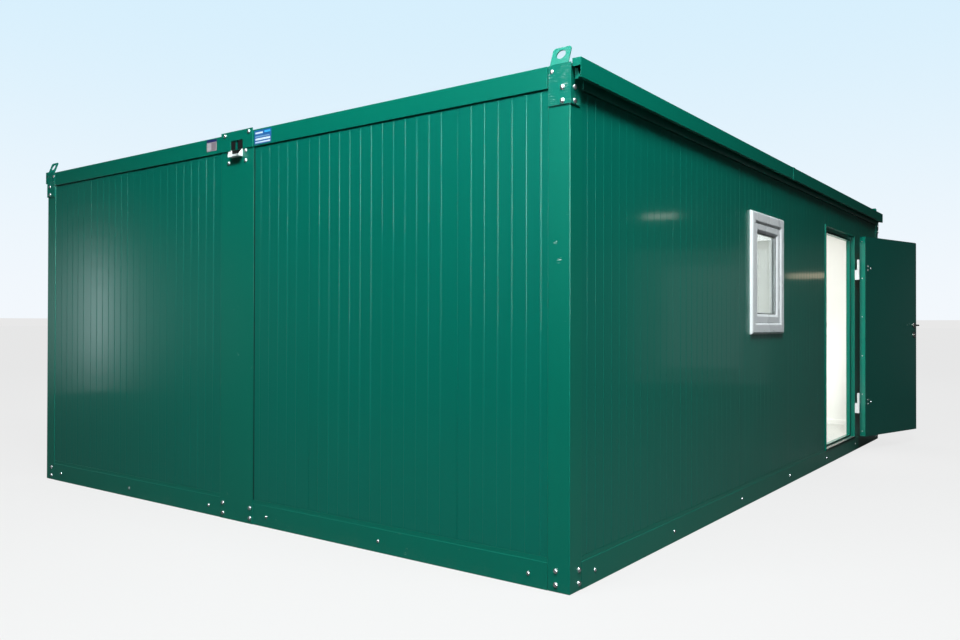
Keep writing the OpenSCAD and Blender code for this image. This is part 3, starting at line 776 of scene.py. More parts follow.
def opening_between(openings, a, b):
    """The opening that lies in the panel from a to b, if there is one."""
    inside = [o for o in openings if o[0] >= a - 5 * MM and o[1] <= b + 5 * MM]
    return inside[0] if inside else None


def clad(name, wall, lo, hi, joints, wide_side, openings=()):
    """Outer facing sheets of a wall with their rolled ribs."""
    facing_sheets, seats = Stock(), []
    bottom, upper = SILL_TOP + GAP_Z, PANEL_TOP - 0.5 * MM
    edges = [lo] + sorted(joints) + [hi]
    for a, b in zip(edges, edges[1:]):
        s0 = a + (SEAM / 2 if a != lo else 0.8 * MM)
        s1 = b - (SEAM / 2 if b != hi else 0.8 * MM)
        hole, low = opening_between(openings, a, b), bottom
        if hole and hole[2] < bottom:
            hole, low = None, hole[3] + GAP_Z
        slab(facing_sheets, wall.at, s0, s1, low, upper, 0, SHEET, hole)
    for s in rib_places(lo, hi, joints, wide_side):
        runs = [(bottom + 2 * MM, upper - 2 * MM)]
        for o in openings:
            if o[0] - RIB_STOP < s < o[1] + RIB_STOP:
                low, high = runs[0]
                if o[2] > bottom:
                    runs = [(o[3] + RIB_STOP, high), (low, o[2] - RIB_STOP)]
                else:
                    runs = [(o[3] + 4 * MM, high)]
        part = (s - lo) / FULL_PANEL % 1.0 if wide_side > 0 else (hi - s) / FULL_PANEL % 1.0
        rise = 1.25 - 0.5 * part
        seats += [(wall.at(s, z0, SHEET), wall.euler(), (1, rise, z1 - z0)) for z0, z1 in runs]
    made(name + "_facings", facing_sheets, panel_paint, slot="green_paint", bevel=0.4 * MM, segments=1)
    grown(name + "_ribs", RIB_TREE, seats, panel_paint, slot="green_paint",
          Rib_width=RIB_WIDTH, Rib_height=RIB_HEIGHT)


clad("front_door_module", FRONT, CENTRE_POST, HALF_WIDTH - POST_END, END_JOINTS, -1)
clad("front_plain_module", FRONT, -HALF_WIDTH + POST_END, -CENTRE_POST, [-s for s in END_JOINTS], -1)
clad("back_door_module", BACK, -HALF_WIDTH + POST_END, -CENTRE_POST, [-s for s in END_JOINTS], 1)
clad("back_plain_module", BACK, CENTRE_POST, HALF_WIDTH - POST_END, END_JOINTS, 1)
side_end = HALF_LENGTH - POST_SIDE
clad("door_side", DOOR_SIDE, -side_end, side_end, SIDE_JOINTS, 1, (win_hole, door_hole))
clad("plain_side", PLAIN_SIDE, -side_end, side_end, [-s for s in SIDE_JOINTS], -1)

LINING = 1.5 * MM


def line_wall(name, wall, reach, joints, openings=()):
    """White inner lining in wide boards with thin joints, and its skirting."""
    boards, skirting = Stock(), Stock()
    edges = [-reach] + sorted(joints) + [reach]
    for a, b in zip(edges, edges[1:]):
        s0, s1 = a + 0.7 * MM, b - 0.7 * MM
        hole, low = opening_between(openings, a, b), FLOOR
        if hole and hole[2] < FLOOR:
            hole, low = None, hole[3]
        slab(boards, wall.inside, s0, s1, low, CEILING, 0, LINING, hole)
    made(name + "_lining", boards, lining_paint, slot="white_lining", bevel=0.3 * MM, segments=1)
    gaps = [o for o in openings if o[2] < FLOOR]
    runs = [(-reach + 12 * MM, reach - 12 * MM)]
    if gaps:
        runs = [(runs[0][0], gaps[0][0] - 2 * MM), (gaps[0][1] + 2 * MM, runs[0][1])]
    profile = offsets(LINING, (0, 0), (0, 10), (44, 10), (50, 5), (52, 0))
    for a, b in runs:
        skirting.prism(profile, lambda u, v, w: wall.inside(w, FLOOR + u, v), a, b)
    made(name + "_skirting", skirting, lining_paint, slot="white_lining", bevel=0.5 * MM, segments=1)


end_linings = sorted([s * k for s in END_JOINTS for k in (1, -1)] + [0.0])
line_wall("front", FRONT, INNER_X, end_linings)
line_wall("back", BACK, INNER_X, end_linings)
line_wall("door_side", DOOR_SIDE, INNER_Y, SIDE_JOINTS, (win_hole, door_hole))
line_wall("plain_side", PLAIN_SIDE, INNER_Y, SIDE_JOINTS)

# ---- frame members with folded edges

for node, bevel, segments in (
        ("corner_posts_front", 3.5, 3), ("corner_posts_back", 3.5, 3), ("base_rails_ends", 0.7, 2),
        ("base_rails_sides", 0.7, 2), ("roof_rails_ends", 1.8, 2), ("roof_rails_sides", 1.8, 2),
        ("centre_covers", 0.8, 2)):
    reformed(node + "_folded", node, rail_paint, bevel=bevel * MM, segments=segments)
reformed("splice_plates_cut", "splice_plates", rail_paint, bevel=0.6 * MM)
reformed("lifting_lugs_bent", "lifting_lugs", lug_paint, bevel=0.8 * MM)
reformed("gutter_straps_folded", "gutter_straps", rail_paint, bevel=0.5 * MM)
for node, body in (("frame_hinges", "cabin"), ("leaf_hinges", "door")):
    reformed(node + "_covered", node, hinge_white, body=body, bevel=0.8 * MM)
for node in ("door_jambs", "door_head"):
    reformed(node + "_folded", node, rail_paint, bevel=1.2 * MM)
reformed("roof_cap_folded", "roof_joint_cap", galvanised, bevel=0.8 * MM)

LARGEST_CUT = 8e-4


def is_cut_edge(face):
    """Ends of the gutter sheet where the saw left bare metal."""
    middle = face.calc_center_median()
    if abs(face.normal.y) < 0.9 or abs(middle.y) < gutter_hi.y - 1 * MM:
        return False
    return face.calc_area() < LARGEST_CUT


reformed("side_gutters_folded", "side_gutters", rail_paint, bevel=0.5 * MM, segments=1,
         second=cut_edge, second_where=is_cut_edge)

for material, nodes in (
        (panel_paint, ("base_rails_inner", "centre_posts", "front_wall_door_module",
                       "front_wall_plain_module", "back_wall_door_module", "back_wall_plain_module",
                       "plain_side_wall", "door_side_panel_1", "door_side_panel_2", "window_panel",
                       "door_side_panel_4", "door_head_panel", "door_side_panel_6")),
        (rail_paint, ("door_threshold",)), (galvanised, ("base_packers", "floor_bearers", "roof_sheets")),
        (lining_paint, ("ceilings", "roof_beams_inner")), (floor_vinyl, ("floor_boards",)),
        (strip_metal, ("floor_joint_strip",))):
    for node in nodes:
        for place in NODES[node].material_slots:
            place.material = material

# ---- roof

ROOF_RIBS = 28
rib_length = roof_hi.x - beam_hi.x
rib_gap = 2 * INNER_Y / ROOF_RIBS
across_roof = tuple(Matrix(((0, 0, 1), (1, 0, 0), (0, 1, 0))).to_euler())
seats, screws = [], []
for side in (1, -1):
    for k in range(ROOF_RIBS):
        y = -INNER_Y + (k + 0.5) * rib_gap
        x = beam_hi.x if side > 0 else -roof_hi.x
        seats.append((Vector((x, y, roof_hi.z)), across_roof, (1, 1, rib_length)))
        if k % 3 == 0:
            screws += [(Vector((side * (beam_hi.x + step * rib_length), y + rib_gap / 2, roof_hi.z)),
                        (0, 0, 0), PLAIN) for step in (0.06, 0.5, 0.94)]
grown("roof_sheet_ribs", RIB_TREE, seats, galvanised, slot="galvanised",
      Rib_width=46 * MM, Rib_height=10 * MM)
grown("roof_sheet_screws", HEAD_TREE, screws, zinc_plate, slot="galvanised",
      **fixing(9, 1.2, 5, 4))

# ---- bolts and screws

# Heights of the bolt rows, and how far each plate stands out of the frame.
LOW_ROWS = (31 * MM, 89 * MM)
SINGLE_ROW = 56 * MM
LUG_ROWS = (TOP - 99 * MM, TOP - 156 * MM)
COVER_ROWS = (TOP - 107 * MM, TOP - 163 * MM)
PLATE = 3 * MM
LUG_PLATE = 5 * MM


def seat(wall, s, z, d):
    return (wall.at(s, z, d), facing(wall.out), PLAIN)


big, small = [], []
post_d = HALF_WIDTH - PANEL_X
for wall in (FRONT, BACK):
    for side in (1, -1):
        for z in LOW_ROWS:
            big += [seat(wall, side * (HALF_WIDTH - 69 * MM), z, post_d),
                    seat(wall, side * 122 * MM, z, post_d + PLATE)]
        small += [seat(wall, side * s * MM, SINGLE_ROW, post_d) for s in (1993, 1110, 261)]
        big += [seat(wall, side * 77 * MM, z, post_d + PLATE) for z in COVER_ROWS]
        big.append(seat(wall, side * 108 * MM, TOP - 4 * MM, RAIL_Y - PANEL_Y + PLATE))
        big += [seat(wall, side * (HALF_WIDTH - 36 * MM), z, post_d + LUG_PLATE) for z in LUG_ROWS]
        small.append(seat(wall, side * (HALF_WIDTH - 88 * MM), TOP - 27 * MM, post_d + LUG_PLATE))
for wall in (DOOR_SIDE, PLAIN_SIDE):
    for side in (1, -1):
        big += [seat(wall, side * (HALF_LENGTH - 78 * MM), z, post_d) for z in LOW_ROWS]
        big += [seat(wall, side * (HALF_LENGTH - 28 * MM), z, post_d + LUG_PLATE) for z in LUG_ROWS]
    small += [seat(wall, s * MM - HALF_LENGTH, SINGLE_ROW, post_d)
              for s in (218, 1066, 2090, 3090, 4085, 5075, 5832)]
grown("frame_bolts", HEAD_TREE, big, zinc_plate, slot="galvanised", **fixing(12, 1.6, 10.5, 6))
grown("rail_bolts", HEAD_TREE, small, zinc_plate, slot="galvanised", **fixing(9.5, 1.2, 8, 4.6))

# ---- gutters

brace = Stock()
outline = [(RAIL_X + out * MM, gutter_hi.z - down * MM)
           for out, down in ((0, 82), (26, 82), (26, 74), (12, 36), (0, 36))]
for side in (1, -1):
    for end in (1, -1):
        y = end * (gutter_hi.y - 22 * MM)
        brace.prism(outline, lambda u, v, w, s=side: Vector((s * u, w, v)), y - 1 * MM, y + 1 * MM)
made("gutter_end_braces", brace, rail_paint, slot="green_paint", bevel=0.3 * MM, segments=1)

# ---- rainwater outlets

SHELL = 3 * MM
NOTCHES = ((-52 * MM, -14 * MM), (8 * MM, 50 * MM))
half, back, front = outlet_hi.x, cover_hi.y, outlet_hi.y - 0.8 * MM
low, high = outlet_lo.z, outlet_hi.z
lip = low + 12 * MM
cheek = [(back, low), (front, low), (front, lip), (back + 6 * MM, high), (back, high)]
tray = [(back, low), (front, low), (front, lip), (front - SHELL, lip), (front - SHELL, low + SHELL),
        (back, low + SHELL)]


def upright(y, thick, z0, z1):
    """Outline of a thin upright plate."""
    return [(y, z0), (y + thick, z0), (y + thick, z1), (y, z1)]


spouts, shade_sheets = Stock(), Stock()
for end in (1, -1):
    def lay(u, v, w, e=end):
        return Vector((w, e * u, v))

    for side in (1, -1):
        spouts.prism(cheek, lay, side * half, side * (half - SHELL))
    spouts.prism(tray, lay, -half + SHELL, half - SHELL)
    # Black sheet at the back of each outlet's mouth and black strips behind the rail notches: painted
    # shade.
    shade_sheets.prism(upright(back, 0.8 * MM, low + SHELL, high), lay, -half + SHELL, half - SHELL)
    for x0, x1 in NOTCHES:
        shade_sheets.prism(upright(RAIL_Y, 1 * MM, TOP - 92 * MM, TOP - 44 * MM), lay, x0, x1)
made("outlets_moulded", spouts, upvc_white, slot="white_upvc", bevel=0.6 * MM,
     stands_for=("rainwater_outlets",))
made("outlet_mouths", shade_sheets, seal_black, bevel=0.2 * MM, segments=1)

# Dark strip beside the cover plate, painted shade for the shadowed gap: on the door module's side in front,
# on the other side at the back.
cover_shade_strip = Stock()
for end in (1, -1):
    cover_shade_strip.block((end * cover_hi.x, -end * (PANEL_Y - 1 * MM), SILL_TOP),
                     (end * (cover_hi.x + 6 * MM), -end * (PANEL_Y + SHEET + 1.2 * MM),
                      RAIL_BOTTOM - 2 * MM))
made("cover_edge_seal", cover_shade_strip, seal_black, bevel=0.3 * MM, segments=1)

# ---- labels

FASCIA = RAIL_Y + 0.5 * MM


def sticker(name, material_name, ground, bars, box):
    """A blank label on the front roof rail."""
    (x0, z0), (x1, z1) = box
    stock = Stock().block((x0, -FASCIA, z0), (x1, -RAIL_Y + 0.2 * MM, z1))
    made(name, stock, label(material_name, ground, bars, box), slot="white_upvc", bevel=0.2 * MM,
         segments=1)


PALE = linear(214, 226, 238)
sticker("blue_blank_label", "blank_blue_label", linear(22, 92, 160), [
    (0.74, 0.86, 0.06, 0.5, PALE), (0.76, 0.9, 0.6, 0.94, linear(60, 170, 230)),
    (0.5, 0.58, 0.06, 0.9, linear(120, 165, 205)), (0.28, 0.42, 0.06, 0.94, PALE),
    (0.08, 0.18, 0.06, 0.94, PALE)], ((155 * MM, 2133 * MM), (300 * MM, 2211 * MM)))
sticker("grey_blank_label", "blank_grey_label", linear(150, 140, 146), [
    (0.78, 1.0, 0.0, 1.0, linear(30, 40, 96)), (0.1, 0.7, 0.08, 0.42, linear(176, 170, 176)),
    (0.1, 0.7, 0.5, 0.92, linear(132, 120, 128))], ((-285 * MM, 2145 * MM), (-190 * MM, 2214 * MM)))

# ---- window


def on_x(u, v, w):
    """Place on the door side from a distance along, a height and an x."""
    return Vector((w, u, v))


win_corners = ((win_lo.y, win_lo.z), (win_hi.y, win_hi.z))
front_x = win_hi.x
sheet_x = PANEL_X + SHEET * 0.6
frame_section = [
    (0, sheet_x), *offsets(front_x, (0, -9), (1.5, -6.5), (9, -0.8), (11.5, 0), (54, 0), (57, -0.8),
                           (68, -6), (70, -8)),
    *offsets(INNER_X, (70, 1), (69, 0), (20.5, 0)), (20.5 * MM, sheet_x)]
made("window_frame_profile", Stock().ring_sweep(frame_section, win_corners, on_x), upvc_white,
     slot="white_upvc", bevel=0.7 * MM, stands_for=("window_frame",))

sash_corners = ((sash_lo.y, sash_lo.z), (sash_hi.y, sash_hi.z))
sx, bx = sash_hi.x, sash_lo.x
sash_section = [
    *offsets(sx, (0, -5), (3, -0.6), (5, 0), (38, 0), (41, -0.6), (55, -7.5), (58, -10)),
    *offsets(pane_hi.x, (58, 0.6), (51, 0.6)), *offsets(pane_lo.x, (51, -0.6), (58, -0.6)),
    *offsets(bx, (58, 8), (52, 1), (50, 0), (4, 0), (0, 4))]
made("window_sash_profile", Stock().ring_sweep(sash_section, sash_corners, on_x), upvc_white,
     slot="white_upvc", bevel=0.6 * MM, stands_for=("window_sash",))

pane_corners = ((pane_lo.y - 6 * MM, pane_lo.z - 6 * MM), (pane_hi.y + 6 * MM, pane_hi.z + 6 * MM))
PANE = 4 * MM
panes = Stock()
for x0 in (pane_lo.x, pane_hi.x - PANE):
    panes.block((x0, *pane_corners[0]), (x0 + PANE, *pane_corners[1]))
made("window_panes", panes, glass_clear, slot="glass", bevel=0.3 * MM, segments=1,
     stands_for=("window_glass",))
spacer_section = [*offsets(pane_lo.x, (3, 4.1)), *offsets(pane_hi.x, (3, -4.1), (12, -4.1)),
                  *offsets(pane_lo.x, (12, 4.1))]
made("window_spacer", Stock().ring_sweep(spacer_section, pane_corners, on_x), spacer_metal,
     slot="aluminium", bevel=0.2 * MM, segments=1)
gasket = Stock()
for x in (pane_hi.x, pane_lo.x - 2.6 * MM):
    gasket.ring_sweep(offsets(x, (6.5, 0), (6.5, 2.6), (8.5, 2.2), (9, 0)), pane_corners, on_x)
gasket.ring_sweep(offsets(sx, (67, -6), (67, -3.2), (72, -3.2), (72, -6)), win_corners, on_x)
made("window_gaskets", gasket, seal_black, bevel=0.2 * MM, segments=1)

caps = Stock()
for k in (-1, 1):
    y, z = (win_lo.y + win_hi.y) / 2 + k * 100 * MM, win_lo.z + 21 * MM
    for width, height, x0, x1 in ((15, 5, -0.5, 0), (11, 3.4, 0, 2.2)):
        turns = (2 * math.pi * i / 20 for i in range(20))
        oval = [(y + width * MM * math.cos(a), z + height * MM * math.sin(a)) for a in turns]
        caps.prism(oval, on_x, front_x + x0 * MM, front_x + x1 * MM)
made("window_drain_caps", caps, upvc_white, slot="white_upvc", bevel=0.5 * MM)

seal_line = Stock().ring_sweep(
    offsets(PANEL_X + SHEET, (-3, -0.2), (-0.2, 2.2), (0.5, 2.2), (0.5, -0.2)), win_corners, on_x)
made("window_seal_line", seal_line, upvc_white, slot="white_upvc")

handle_y, handle_z = sash_lo.y + 29 * MM, (sash_lo.z + sash_hi.z) / 2
window_lever = Stock()
window_lever.block((bx - 9 * MM, handle_y - 13 * MM, handle_z - 34 * MM),
                   (bx, handle_y + 13 * MM, handle_z + 34 * MM))
window_lever.tube([Vector((bx - 8 * MM, handle_y, handle_z)), Vector((bx - 30 * MM, handle_y, handle_z))],
                  [8 * MM, 7 * MM])
window_lever.block((bx - 42 * MM, handle_y - 10 * MM, handle_z - 100 * MM),
                   (bx - 28 * MM, handle_y + 10 * MM, handle_z + 11 * MM))
made("window_inner_handle", window_lever, upvc_white, slot="white_upvc", bevel=3 * MM, segments=3)

# ---- doorway

stop_x = head_lo.x + 30 * MM
JAMB_WIDTH = 41 * MM
open_0, open_1 = jamb_lo.y + JAMB_WIDTH, jamb_hi.y - JAMB_WIDTH
head_clear, sill_clear = head_hi.z - 57 * MM, step_hi.z
seal_corners = ((open_0 - 13 * MM, sill_clear - 9 * MM), (open_1 + 13 * MM, head_clear + 14 * MM))
seal = Stock().ring_sweep(offsets(stop_x, (0, 0), (0.8, 2.8), (3, 3.6), (5.2, 2.8), (6, 0)),
                          seal_corners, on_x)
made("door_stop_seal", seal, seal_black, bevel=0.3 * MM, segments=1)

step_z = step_lo.z + 10 * MM
strip_top = step_z + 2 * MM
profile = [(stop_x + 1 * MM, step_z), (stop_x + 1 * MM, strip_top)]
for k in range(5):
    x = stop_x + (4 + 6 * k) * MM
    profile += [(x, strip_top), (x + 1.5 * MM, strip_top + 1 * MM), (x + 3 * MM, strip_top)]
profile += [(step_hi.x + out * MM, step_z + up * MM)
            for out, up in ((-1, 2), (0, 1), (0, -9), (-0.6, -9), (-0.6, 0))]
strip = Stock().prism(profile, lambda u, v, w: Vector((u, w, v)), jamb_lo.y + 16 * MM, jamb_hi.y - 16 * MM)
made("threshold_strip", strip, strip_metal, slot="aluminium", bevel=0.2 * MM, segments=1)

KEEPER = 1.6 * MM
keepers = Stock()
face_y = jamb_lo.y + 14 * MM
for z, tall in ((1130 * MM, 70 * MM), (1040 * MM, 44 * MM)):
    keepers.block((stop_x + 8 * MM, face_y, z - tall / 2),
                  (jamb_hi.x - 3 * MM, face_y + KEEPER, z + tall / 2))
    keepers.block((jamb_hi.x - 4 * MM, face_y - 6 * MM, z - tall / 4),
                  (jamb_hi.x + 1.5 * MM, face_y + KEEPER, z + tall / 4))
made("door_keepers", keepers, satin_metal, slot="satin_steel", bevel=0.4 * MM)

reveal = Stock()
for s0, s1, low in ((open_0 - 22 * MM, open_0 + 2 * MM, FLOOR), (open_1 - 2 * MM, open_1 + 22 * MM, FLOOR),
                    (open_0 + 2 * MM, open_1 - 2 * MM, head_clear - 2 * MM)):
    slab(reveal, DOOR_SIDE.inside, s0, s1, low, head_clear + 20 * MM, 0, 3 * MM)
made("doorway_trim", reveal, lining_paint, slot="white_lining", bevel=0.8 * MM)

# ---- door leaf

# The leaf's darker paint is painted shade.
reformed("door_leaf_skin", "door_leaf", shaded_door_paint, body="door", bevel=1.5 * MM, segments=3)


def leafwise(name, stock, material, **more):
    """A piece drawn on the shut door, laid on the open one."""
    return made(name, stock, material, turn=SWING, **{"body": "door", "bevel": 0.4 * MM, **more})


def leaf_heads(name, seats, sizes):
    """Screw or bolt heads drawn on the shut door, laid on the open one."""
    grown(name, HEAD_TREE, seats, zinc_plate, body="door", slot="galvanised", turn=SWING, **sizes)


edge = Stock()
edge.block((leaf_lo.x + 2 * MM, leaf_hi.y, leaf_lo.z + 4 * MM),
           (leaf_lo.x + 33 * MM, leaf_hi.y + 1.4 * MM, leaf_hi.z - 4 * MM))
edge.block((leaf_lo.x + 2 * MM, leaf_lo.y - 1.2 * MM, leaf_lo.z + 4 * MM),
           (leaf_lo.x + 33 * MM, leaf_lo.y, leaf_hi.z - 20 * MM))
leafwise("leaf_edge_strips", edge, rail_paint, slot="green_paint")

SKIN = 0.8 * MM
left, right, foot = leaf_lo.y + 9 * MM, leaf_hi.y - 9 * MM, leaf_lo.z + 9 * MM
outline = [(left, foot), (right, foot), (right, leaf_hi.z - 9 * MM),
           (leaf_lo.y + 22 * MM, leaf_hi.z - 9 * MM), (left, leaf_hi.z - 16 * MM)]
skins = Stock()
for x0 in (leaf_lo.x - SKIN, leaf_hi.x):
    skins.prism(outline, on_x, x0, x0 + SKIN)
leafwise("leaf_face_sheets", skins, shaded_door_paint, slot="green_paint", bevel=0.3 * MM, segments=1)

EDGE_STRIP = 1.4 * MM
hinge_bolts = [(Vector((leaf_lo.x - SKIN, leaf_hi.y - back * MM, z + lift * MM)), facing((-1, 0, 0)), PLAIN)
               for z in (leaf_lo.z + 295 * MM, leaf_hi.z - 295 * MM)
               for back, lift in ((45, 30), (45, -5), (92, 12))]
edge_screws = [(Vector((leaf_lo.x + 28 * MM, leaf_hi.y + EDGE_STRIP, z * MM)), facing((0, 1, 0)), PLAIN)
               for z in (1880, 1550, 1205, 855, 510, 180)]
leaf_heads("leaf_hinge_bolts", hinge_bolts, fixing(10, 1.2, 8, 4))
leaf_heads("leaf_edge_screws", edge_screws, fixing(5, 0.4, 4, 1.4))

middle_x = (leaf_lo.x + leaf_hi.x) / 2
LEVER_Z = (grip_lo.z + grip_hi.z) / 2
KEY_Z = LEVER_Z - 92 * MM
FACES = ((leaf_hi.x, 1), (leaf_lo.x, -1))
lock = Stock()
lock.block((middle_x - 11 * MM, leaf_lo.y - 1.8 * MM, KEY_Z - 50 * MM),
           (middle_x + 11 * MM, leaf_lo.y - 0.4 * MM, LEVER_Z + 45 * MM))
latch = [(middle_x + u * MM, leaf_lo.y - v * MM) for u, v in ((-7, 1), (7, 1), (7, 2.4), (-7, 4.6))]
lock.prism(latch, lambda u, v, w: Vector((u, v, w)), LEVER_Z - 12 * MM, LEVER_Z + 12 * MM)
leafwise("leaf_lock_plate", lock, satin_metal, slot="satin_steel", bevel=0.3 * MM)

lever_r = (grip_hi.z - grip_lo.z) / 2
lever_y = grip_lo.y + lever_r
standoff = grip_hi.x - lever_r - leaf_hi.x
lever_end = grip_hi.y - lever_r


# Where the grip's end is rounded off: share of its length, and of the lever's radius.
GRIP_END = {0.97: 0.9, 0.995: 0.7, 1.0: 0.35}


def lever_half(stock, face, out):
    """Neck, bend and grip on one face. out is 1 on the outer face and -1 on the inner one."""
    path, radii = [], []
    bend = 13 * MM
    for t in (0.0, 0.35, 0.7, 0.74, 1.0):
        path.append(Vector((face + out * (0.6 * MM + t * (standoff - bend)), lever_y, LEVER_Z)))
        radii.append(lever_r * (0.99 if t < 0.72 else 0.9))
    for k in range(1, 7):
        a = k / 6 * math.pi / 2
        path.append(Vector((face + out * (standoff - bend + bend * math.sin(a)),
                            lever_y + bend * (1 - math.cos(a)), LEVER_Z)))
        radii.append(lever_r * 0.88)
    grip = lever_end - (lever_y + bend)
    for t in (0.08, 0.2, 0.4, 0.6, 0.8, 0.92, 0.97, 0.995, 1.0):
        path.append(Vector((face + out * (standoff - 1.5 * MM * math.sin(t * math.pi)),
                            lever_y + bend + t * grip, LEVER_Z)))
        radii.append(lever_r * GRIP_END.get(t, 0.86 + 0.1 * t))
    stock.tube(path, radii, 24)


levers = Stock()
for face, out in FACES:
    lever_half(levers, face, out)
levers.tube([Vector((leaf_lo.x - 0.5 * MM, lever_y, LEVER_Z)),
             Vector((leaf_hi.x + 0.5 * MM, lever_y, LEVER_Z))], [5 * MM, 5 * MM], 12)
made("lever_handle", levers, satin_metal, body="handle", slot="satin_steel", turn=SWING,
     stands_for=("door_handle",))

RIM = ((25, 0), (25, 5.4), (24.2, 7), (22, 8))
HANDLE_ROSE = ((8.6, 0), *RIM, (11, 8), (9.4, 7.2), (8.6, 6.8))
KEY_ROSE = ((0, 0), *RIM, (9.6, 8), (8.6, 7.6), (8.4, 10.6), (7.8, 11), (0, 11))
roses, keyhole_shade = Stock(), Stock()
for face, out in FACES:
    tilt = Vector((out, 0, 0)).to_track_quat("Z", "Y").to_matrix().to_4x4()
    for z, profile in ((LEVER_Z, HANDLE_ROSE), (KEY_Z, KEY_ROSE)):
        roses.turned(offsets(0, *profile), Matrix.Translation((face, lever_y, z)) @ tilt, 40)
    # A black sliver on each key rose is painted shade for the keyhole slot.
    x = face + out * 11 * MM
    keyhole_shade.block((x - out * 0.5 * MM, lever_y - 0.8 * MM, KEY_Z - 4.5 * MM),
                 (x + out * 0.05 * MM, lever_y + 0.8 * MM, KEY_Z + 4.5 * MM))
made("handle_and_key_roses", roses, satin_metal, body="door", slot="satin_steel", turn=SWING,
     stands_for=("door_rosettes",))
leafwise("keyhole_shades", keyhole_shade, seal_black, bevel=0)

# ---- room

trim = Stock().block((-75 * MM, -INNER_Y + LINING, beam_lo.z - 3 * MM),
                     (75 * MM, INNER_Y - LINING, beam_lo.z))
made("beam_cover_board", trim, lining_paint, slot="white_lining", bevel=0.6 * MM)
ceiling_ribs = Stock()
for side in (1, -1):
    for k in range(1, 6):
        y = -INNER_Y + k * 2 * INNER_Y / 6
        ceiling_ribs.block((side * 66 * MM, y - 15 * MM, CEILING - 2 * MM),
                           (side * (INNER_X - LINING), y + 15 * MM, CEILING))
made("ceiling_joint_strips", ceiling_ribs, lining_paint, slot="white_lining", bevel=0.4 * MM, segments=1)

# ---- camera, lights and stage

camera_data = bpy.data.cameras.new("camera")
camera_data.sensor_width = 36.0
camera_data.lens = 31.22
camera_data.clip_end = 2000
camera = new_object("camera", camera_data)
# Radians. The pitch is small, so that uprights stay upright.
YAW, PITCH, ROLL = -0.6379, 0.0064, 0.0021
camera.location = (3.961, -6.030, 1.121)
ahead = Vector((math.sin(YAW) * math.cos(PITCH), math.cos(YAW) * math.cos(PITCH), math.sin(PITCH)))
look = ahead.to_track_quat("-Z", "Y").to_matrix() @ Matrix.Rotation(ROLL, 3, "Z")
camera.rotation_euler = look.to_euler()
bpy.context.scene.camera = camera


def soft_light(name, place, target, width, height, power, colour=(1, 1, 1), only_gloss=False,
               shape="RECTANGLE"):
    """Flat lamp that the camera doesn't see."""
    data = bpy.data.lights.new(name, "AREA")
    data.shape, data.size, data.size_y = shape, width, height
    data.energy, data.color = power, colour
    lamp = new_object(name, data)
    lamp.location = place
    lamp.rotation_euler = (Vector(target) - Vector(place)).to_track_quat("-Z", "Y").to_euler()
    lamp.visible_camera = False
    lamp.visible_diffuse = not only_gloss


COOL, PALE_COOL, ROOM_WHITE = (0.93, 1, 1), (0.93, 0.99, 1), (0.99, 0.99, 1)
# Name, place, target, width, height, watts, colour, and whether only gloss sees it.
for row in (
        ("rib_glint", (1.5, -6.9, 2.7), (1.2, -3.0, 1.8), 0.5, 1.4, 120, COOL, True),
        ("edge_glint", (7.6, -8.6, 2.6), (2.2, -3.0, 1.6), 4.0, 3.0, 800, (0.95, 1, 1), True),
        ("corner_key", (4.3, -5.6, 6.0), (2.2, -2.6, 1.4), 1.6, 1.2, 420, COOL),
        ("front_high", (1.5, -5.1, 5.0), (1.3, -3.0, 1.6), 2.4, 1.0, 165, COOL),
        ("front_fill", (1.2, -6.3, 7.6), (1.3, -3.0, 1.2), 4.5, 2.0, 180, PALE_COOL),
        ("side_top", (3.9, -2.9, 5.6), (2.2, -2.6, 1.0), 1.2, 1.0, 170, PALE_COOL),
        ("rear_fill", (-6.5, 9.0, 5.5), (-0.5, 1.0, 1.0), 5.0, 3.0, 560),
        ("side_lamp_near", (7.26, 9.05, 3.25), (2.2, -2.1, 1.67), 0.6, 0.1, 0.7, (1, 0.95, 0.85), True),
        ("side_lamp_far", (5.52, 13.06, 2.23), (2.2, 0.6, 1.5), 0.9, 0.12, 1.0, (1, 0.78, 0.55), True),
        ("room_light", (0.0, 0.6, 2.03), (0.0, 0.6, 0.0), 3.4, 4.6, 54, ROOM_WHITE),
        ("room_uplight", (0.0, 0.6, 0.3), (0.0, 0.6, 2.0), 3.0, 4.2, 56, ROOM_WHITE)):
    soft_light(*row)
# Glows are built from steps one behind another, since lamps in one plane hide each other.
GLOW_STEPS = ((2.7, 4.4, 2.4), (2.1, 3.7, 3.2), (1.6, 3.1, 4.2), (1.2, 2.6, 4.4), (0.8, 2.1, 3.4),
              (0.5, 1.6, 2.0), (0.25, 1.0, 0.7))
for k, step in enumerate(GLOW_STEPS):
    soft_light("left_glow", (-9.3 - 0.1 * k, -7.3 - 0.06 * k, 1.3), (-1.5, -3.0, 1.2), *step,
               (0.85, 0.96, 1), only_gloss=True, shape="ELLIPSE")
for k, step in enumerate(((2.6, 2.6, 2.6), (1.5, 2.0, 1.5))):
    soft_light("side_flat", (6.7, 9.6 + 0.1 * k, 1.3), (2.2, -1.5, 1.2), *step, (0.85, 0.97, 1),
               only_gloss=True)

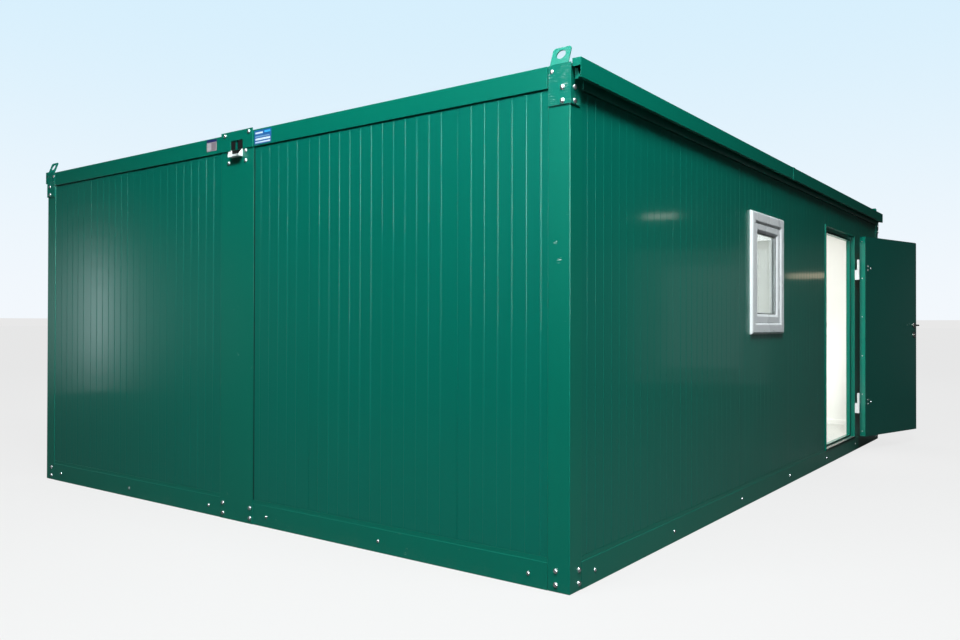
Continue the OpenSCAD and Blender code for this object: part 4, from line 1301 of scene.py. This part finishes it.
# Below this height the camera sees plain haze, the same as the far floor.
HORIZON = 0.0064
HAZE = linear(232, 232, 232)
world = bpy.data.worlds.new("studio")
bpy.context.scene.world = world
world.use_nodes = True
sky = world.node_tree
sky.nodes.clear()
direction = wire(sky, "ShaderNodeTexCoord").outputs["Generated"]
height = wire(sky, "ShaderNodeSeparateXYZ", {0: direction}).outputs["Z"]
air = mix_colour(sky, fade(sky, height, -0.02, 0.4), linear(243, 248, 253), linear(214, 239, 253))
seen = mix_colour(sky, math_node(sky, "LESS_THAN", height, HORIZON), air, HAZE)
low_band = mix_colour(sky, fade(sky, height, 0.085, 0.1), (0.025, 0.03, 0.03, 1),
                      (0.004, 0.006, 0.006, 1))
lit = mix_colour(sky, fade(sky, height, 0.45, 0.97), low_band, (0.6, 0.64, 0.66, 1))
camera_ray = wire(sky, "ShaderNodeLightPath").outputs["Is Camera Ray"]
backdrop = wire(sky, "ShaderNodeBackground", {"Color": mix_colour(sky, camera_ray, lit, seen),
                                              "Strength": 1.0})
sky.links.new(backdrop.outputs[0], wire(sky, "ShaderNodeOutputWorld").inputs[0])



def grey(value):
    return (value, value, value, 1)


FLOOR_REACH = 600
ground_mesh = bpy.data.meshes.new("floor")
ground_mesh.from_pydata([(x * FLOOR_REACH, y * FLOOR_REACH, -1 * MM)
                         for x, y in ((-1, -1), (1, -1), (1, 1), (-1, 1))], [], [(0, 1, 2, 3)])
floor_material, floor_tree, floor_shader = new_material("studio_floor", Roughness=0.8)
tone = noise(floor_tree, stretched(floor_tree), 0.6, 3.0)
ray_kind = wire(floor_tree, "ShaderNodeLightPath")
from_camera = ray_kind.outputs["Is Camera Ray"]
mirrored = mix_colour(floor_tree, ray_kind.outputs["Is Glossy Ray"], grey(0), (0.02, 0.022, 0.022, 1))
seen_tone = mix_colour(floor_tree, tone, grey(0.062), grey(0.07))
floor_tree.links.new(mix_colour(floor_tree, from_camera, grey(0.07), seen_tone),
                     floor_shader.inputs["Base Color"])
floor_tree.links.new(mix_colour(floor_tree, from_camera, mirrored, grey(0.775)),
                     floor_shader.inputs["Emission Color"])
floor_shader.inputs["Emission Strength"].default_value = 1.0
floor_shader.inputs["Specular IOR Level"].default_value = 0.0
ground_mesh.materials.append(floor_material)
new_object("floor", ground_mesh)

bpy.context.scene.view_settings.view_transform = "Standard"
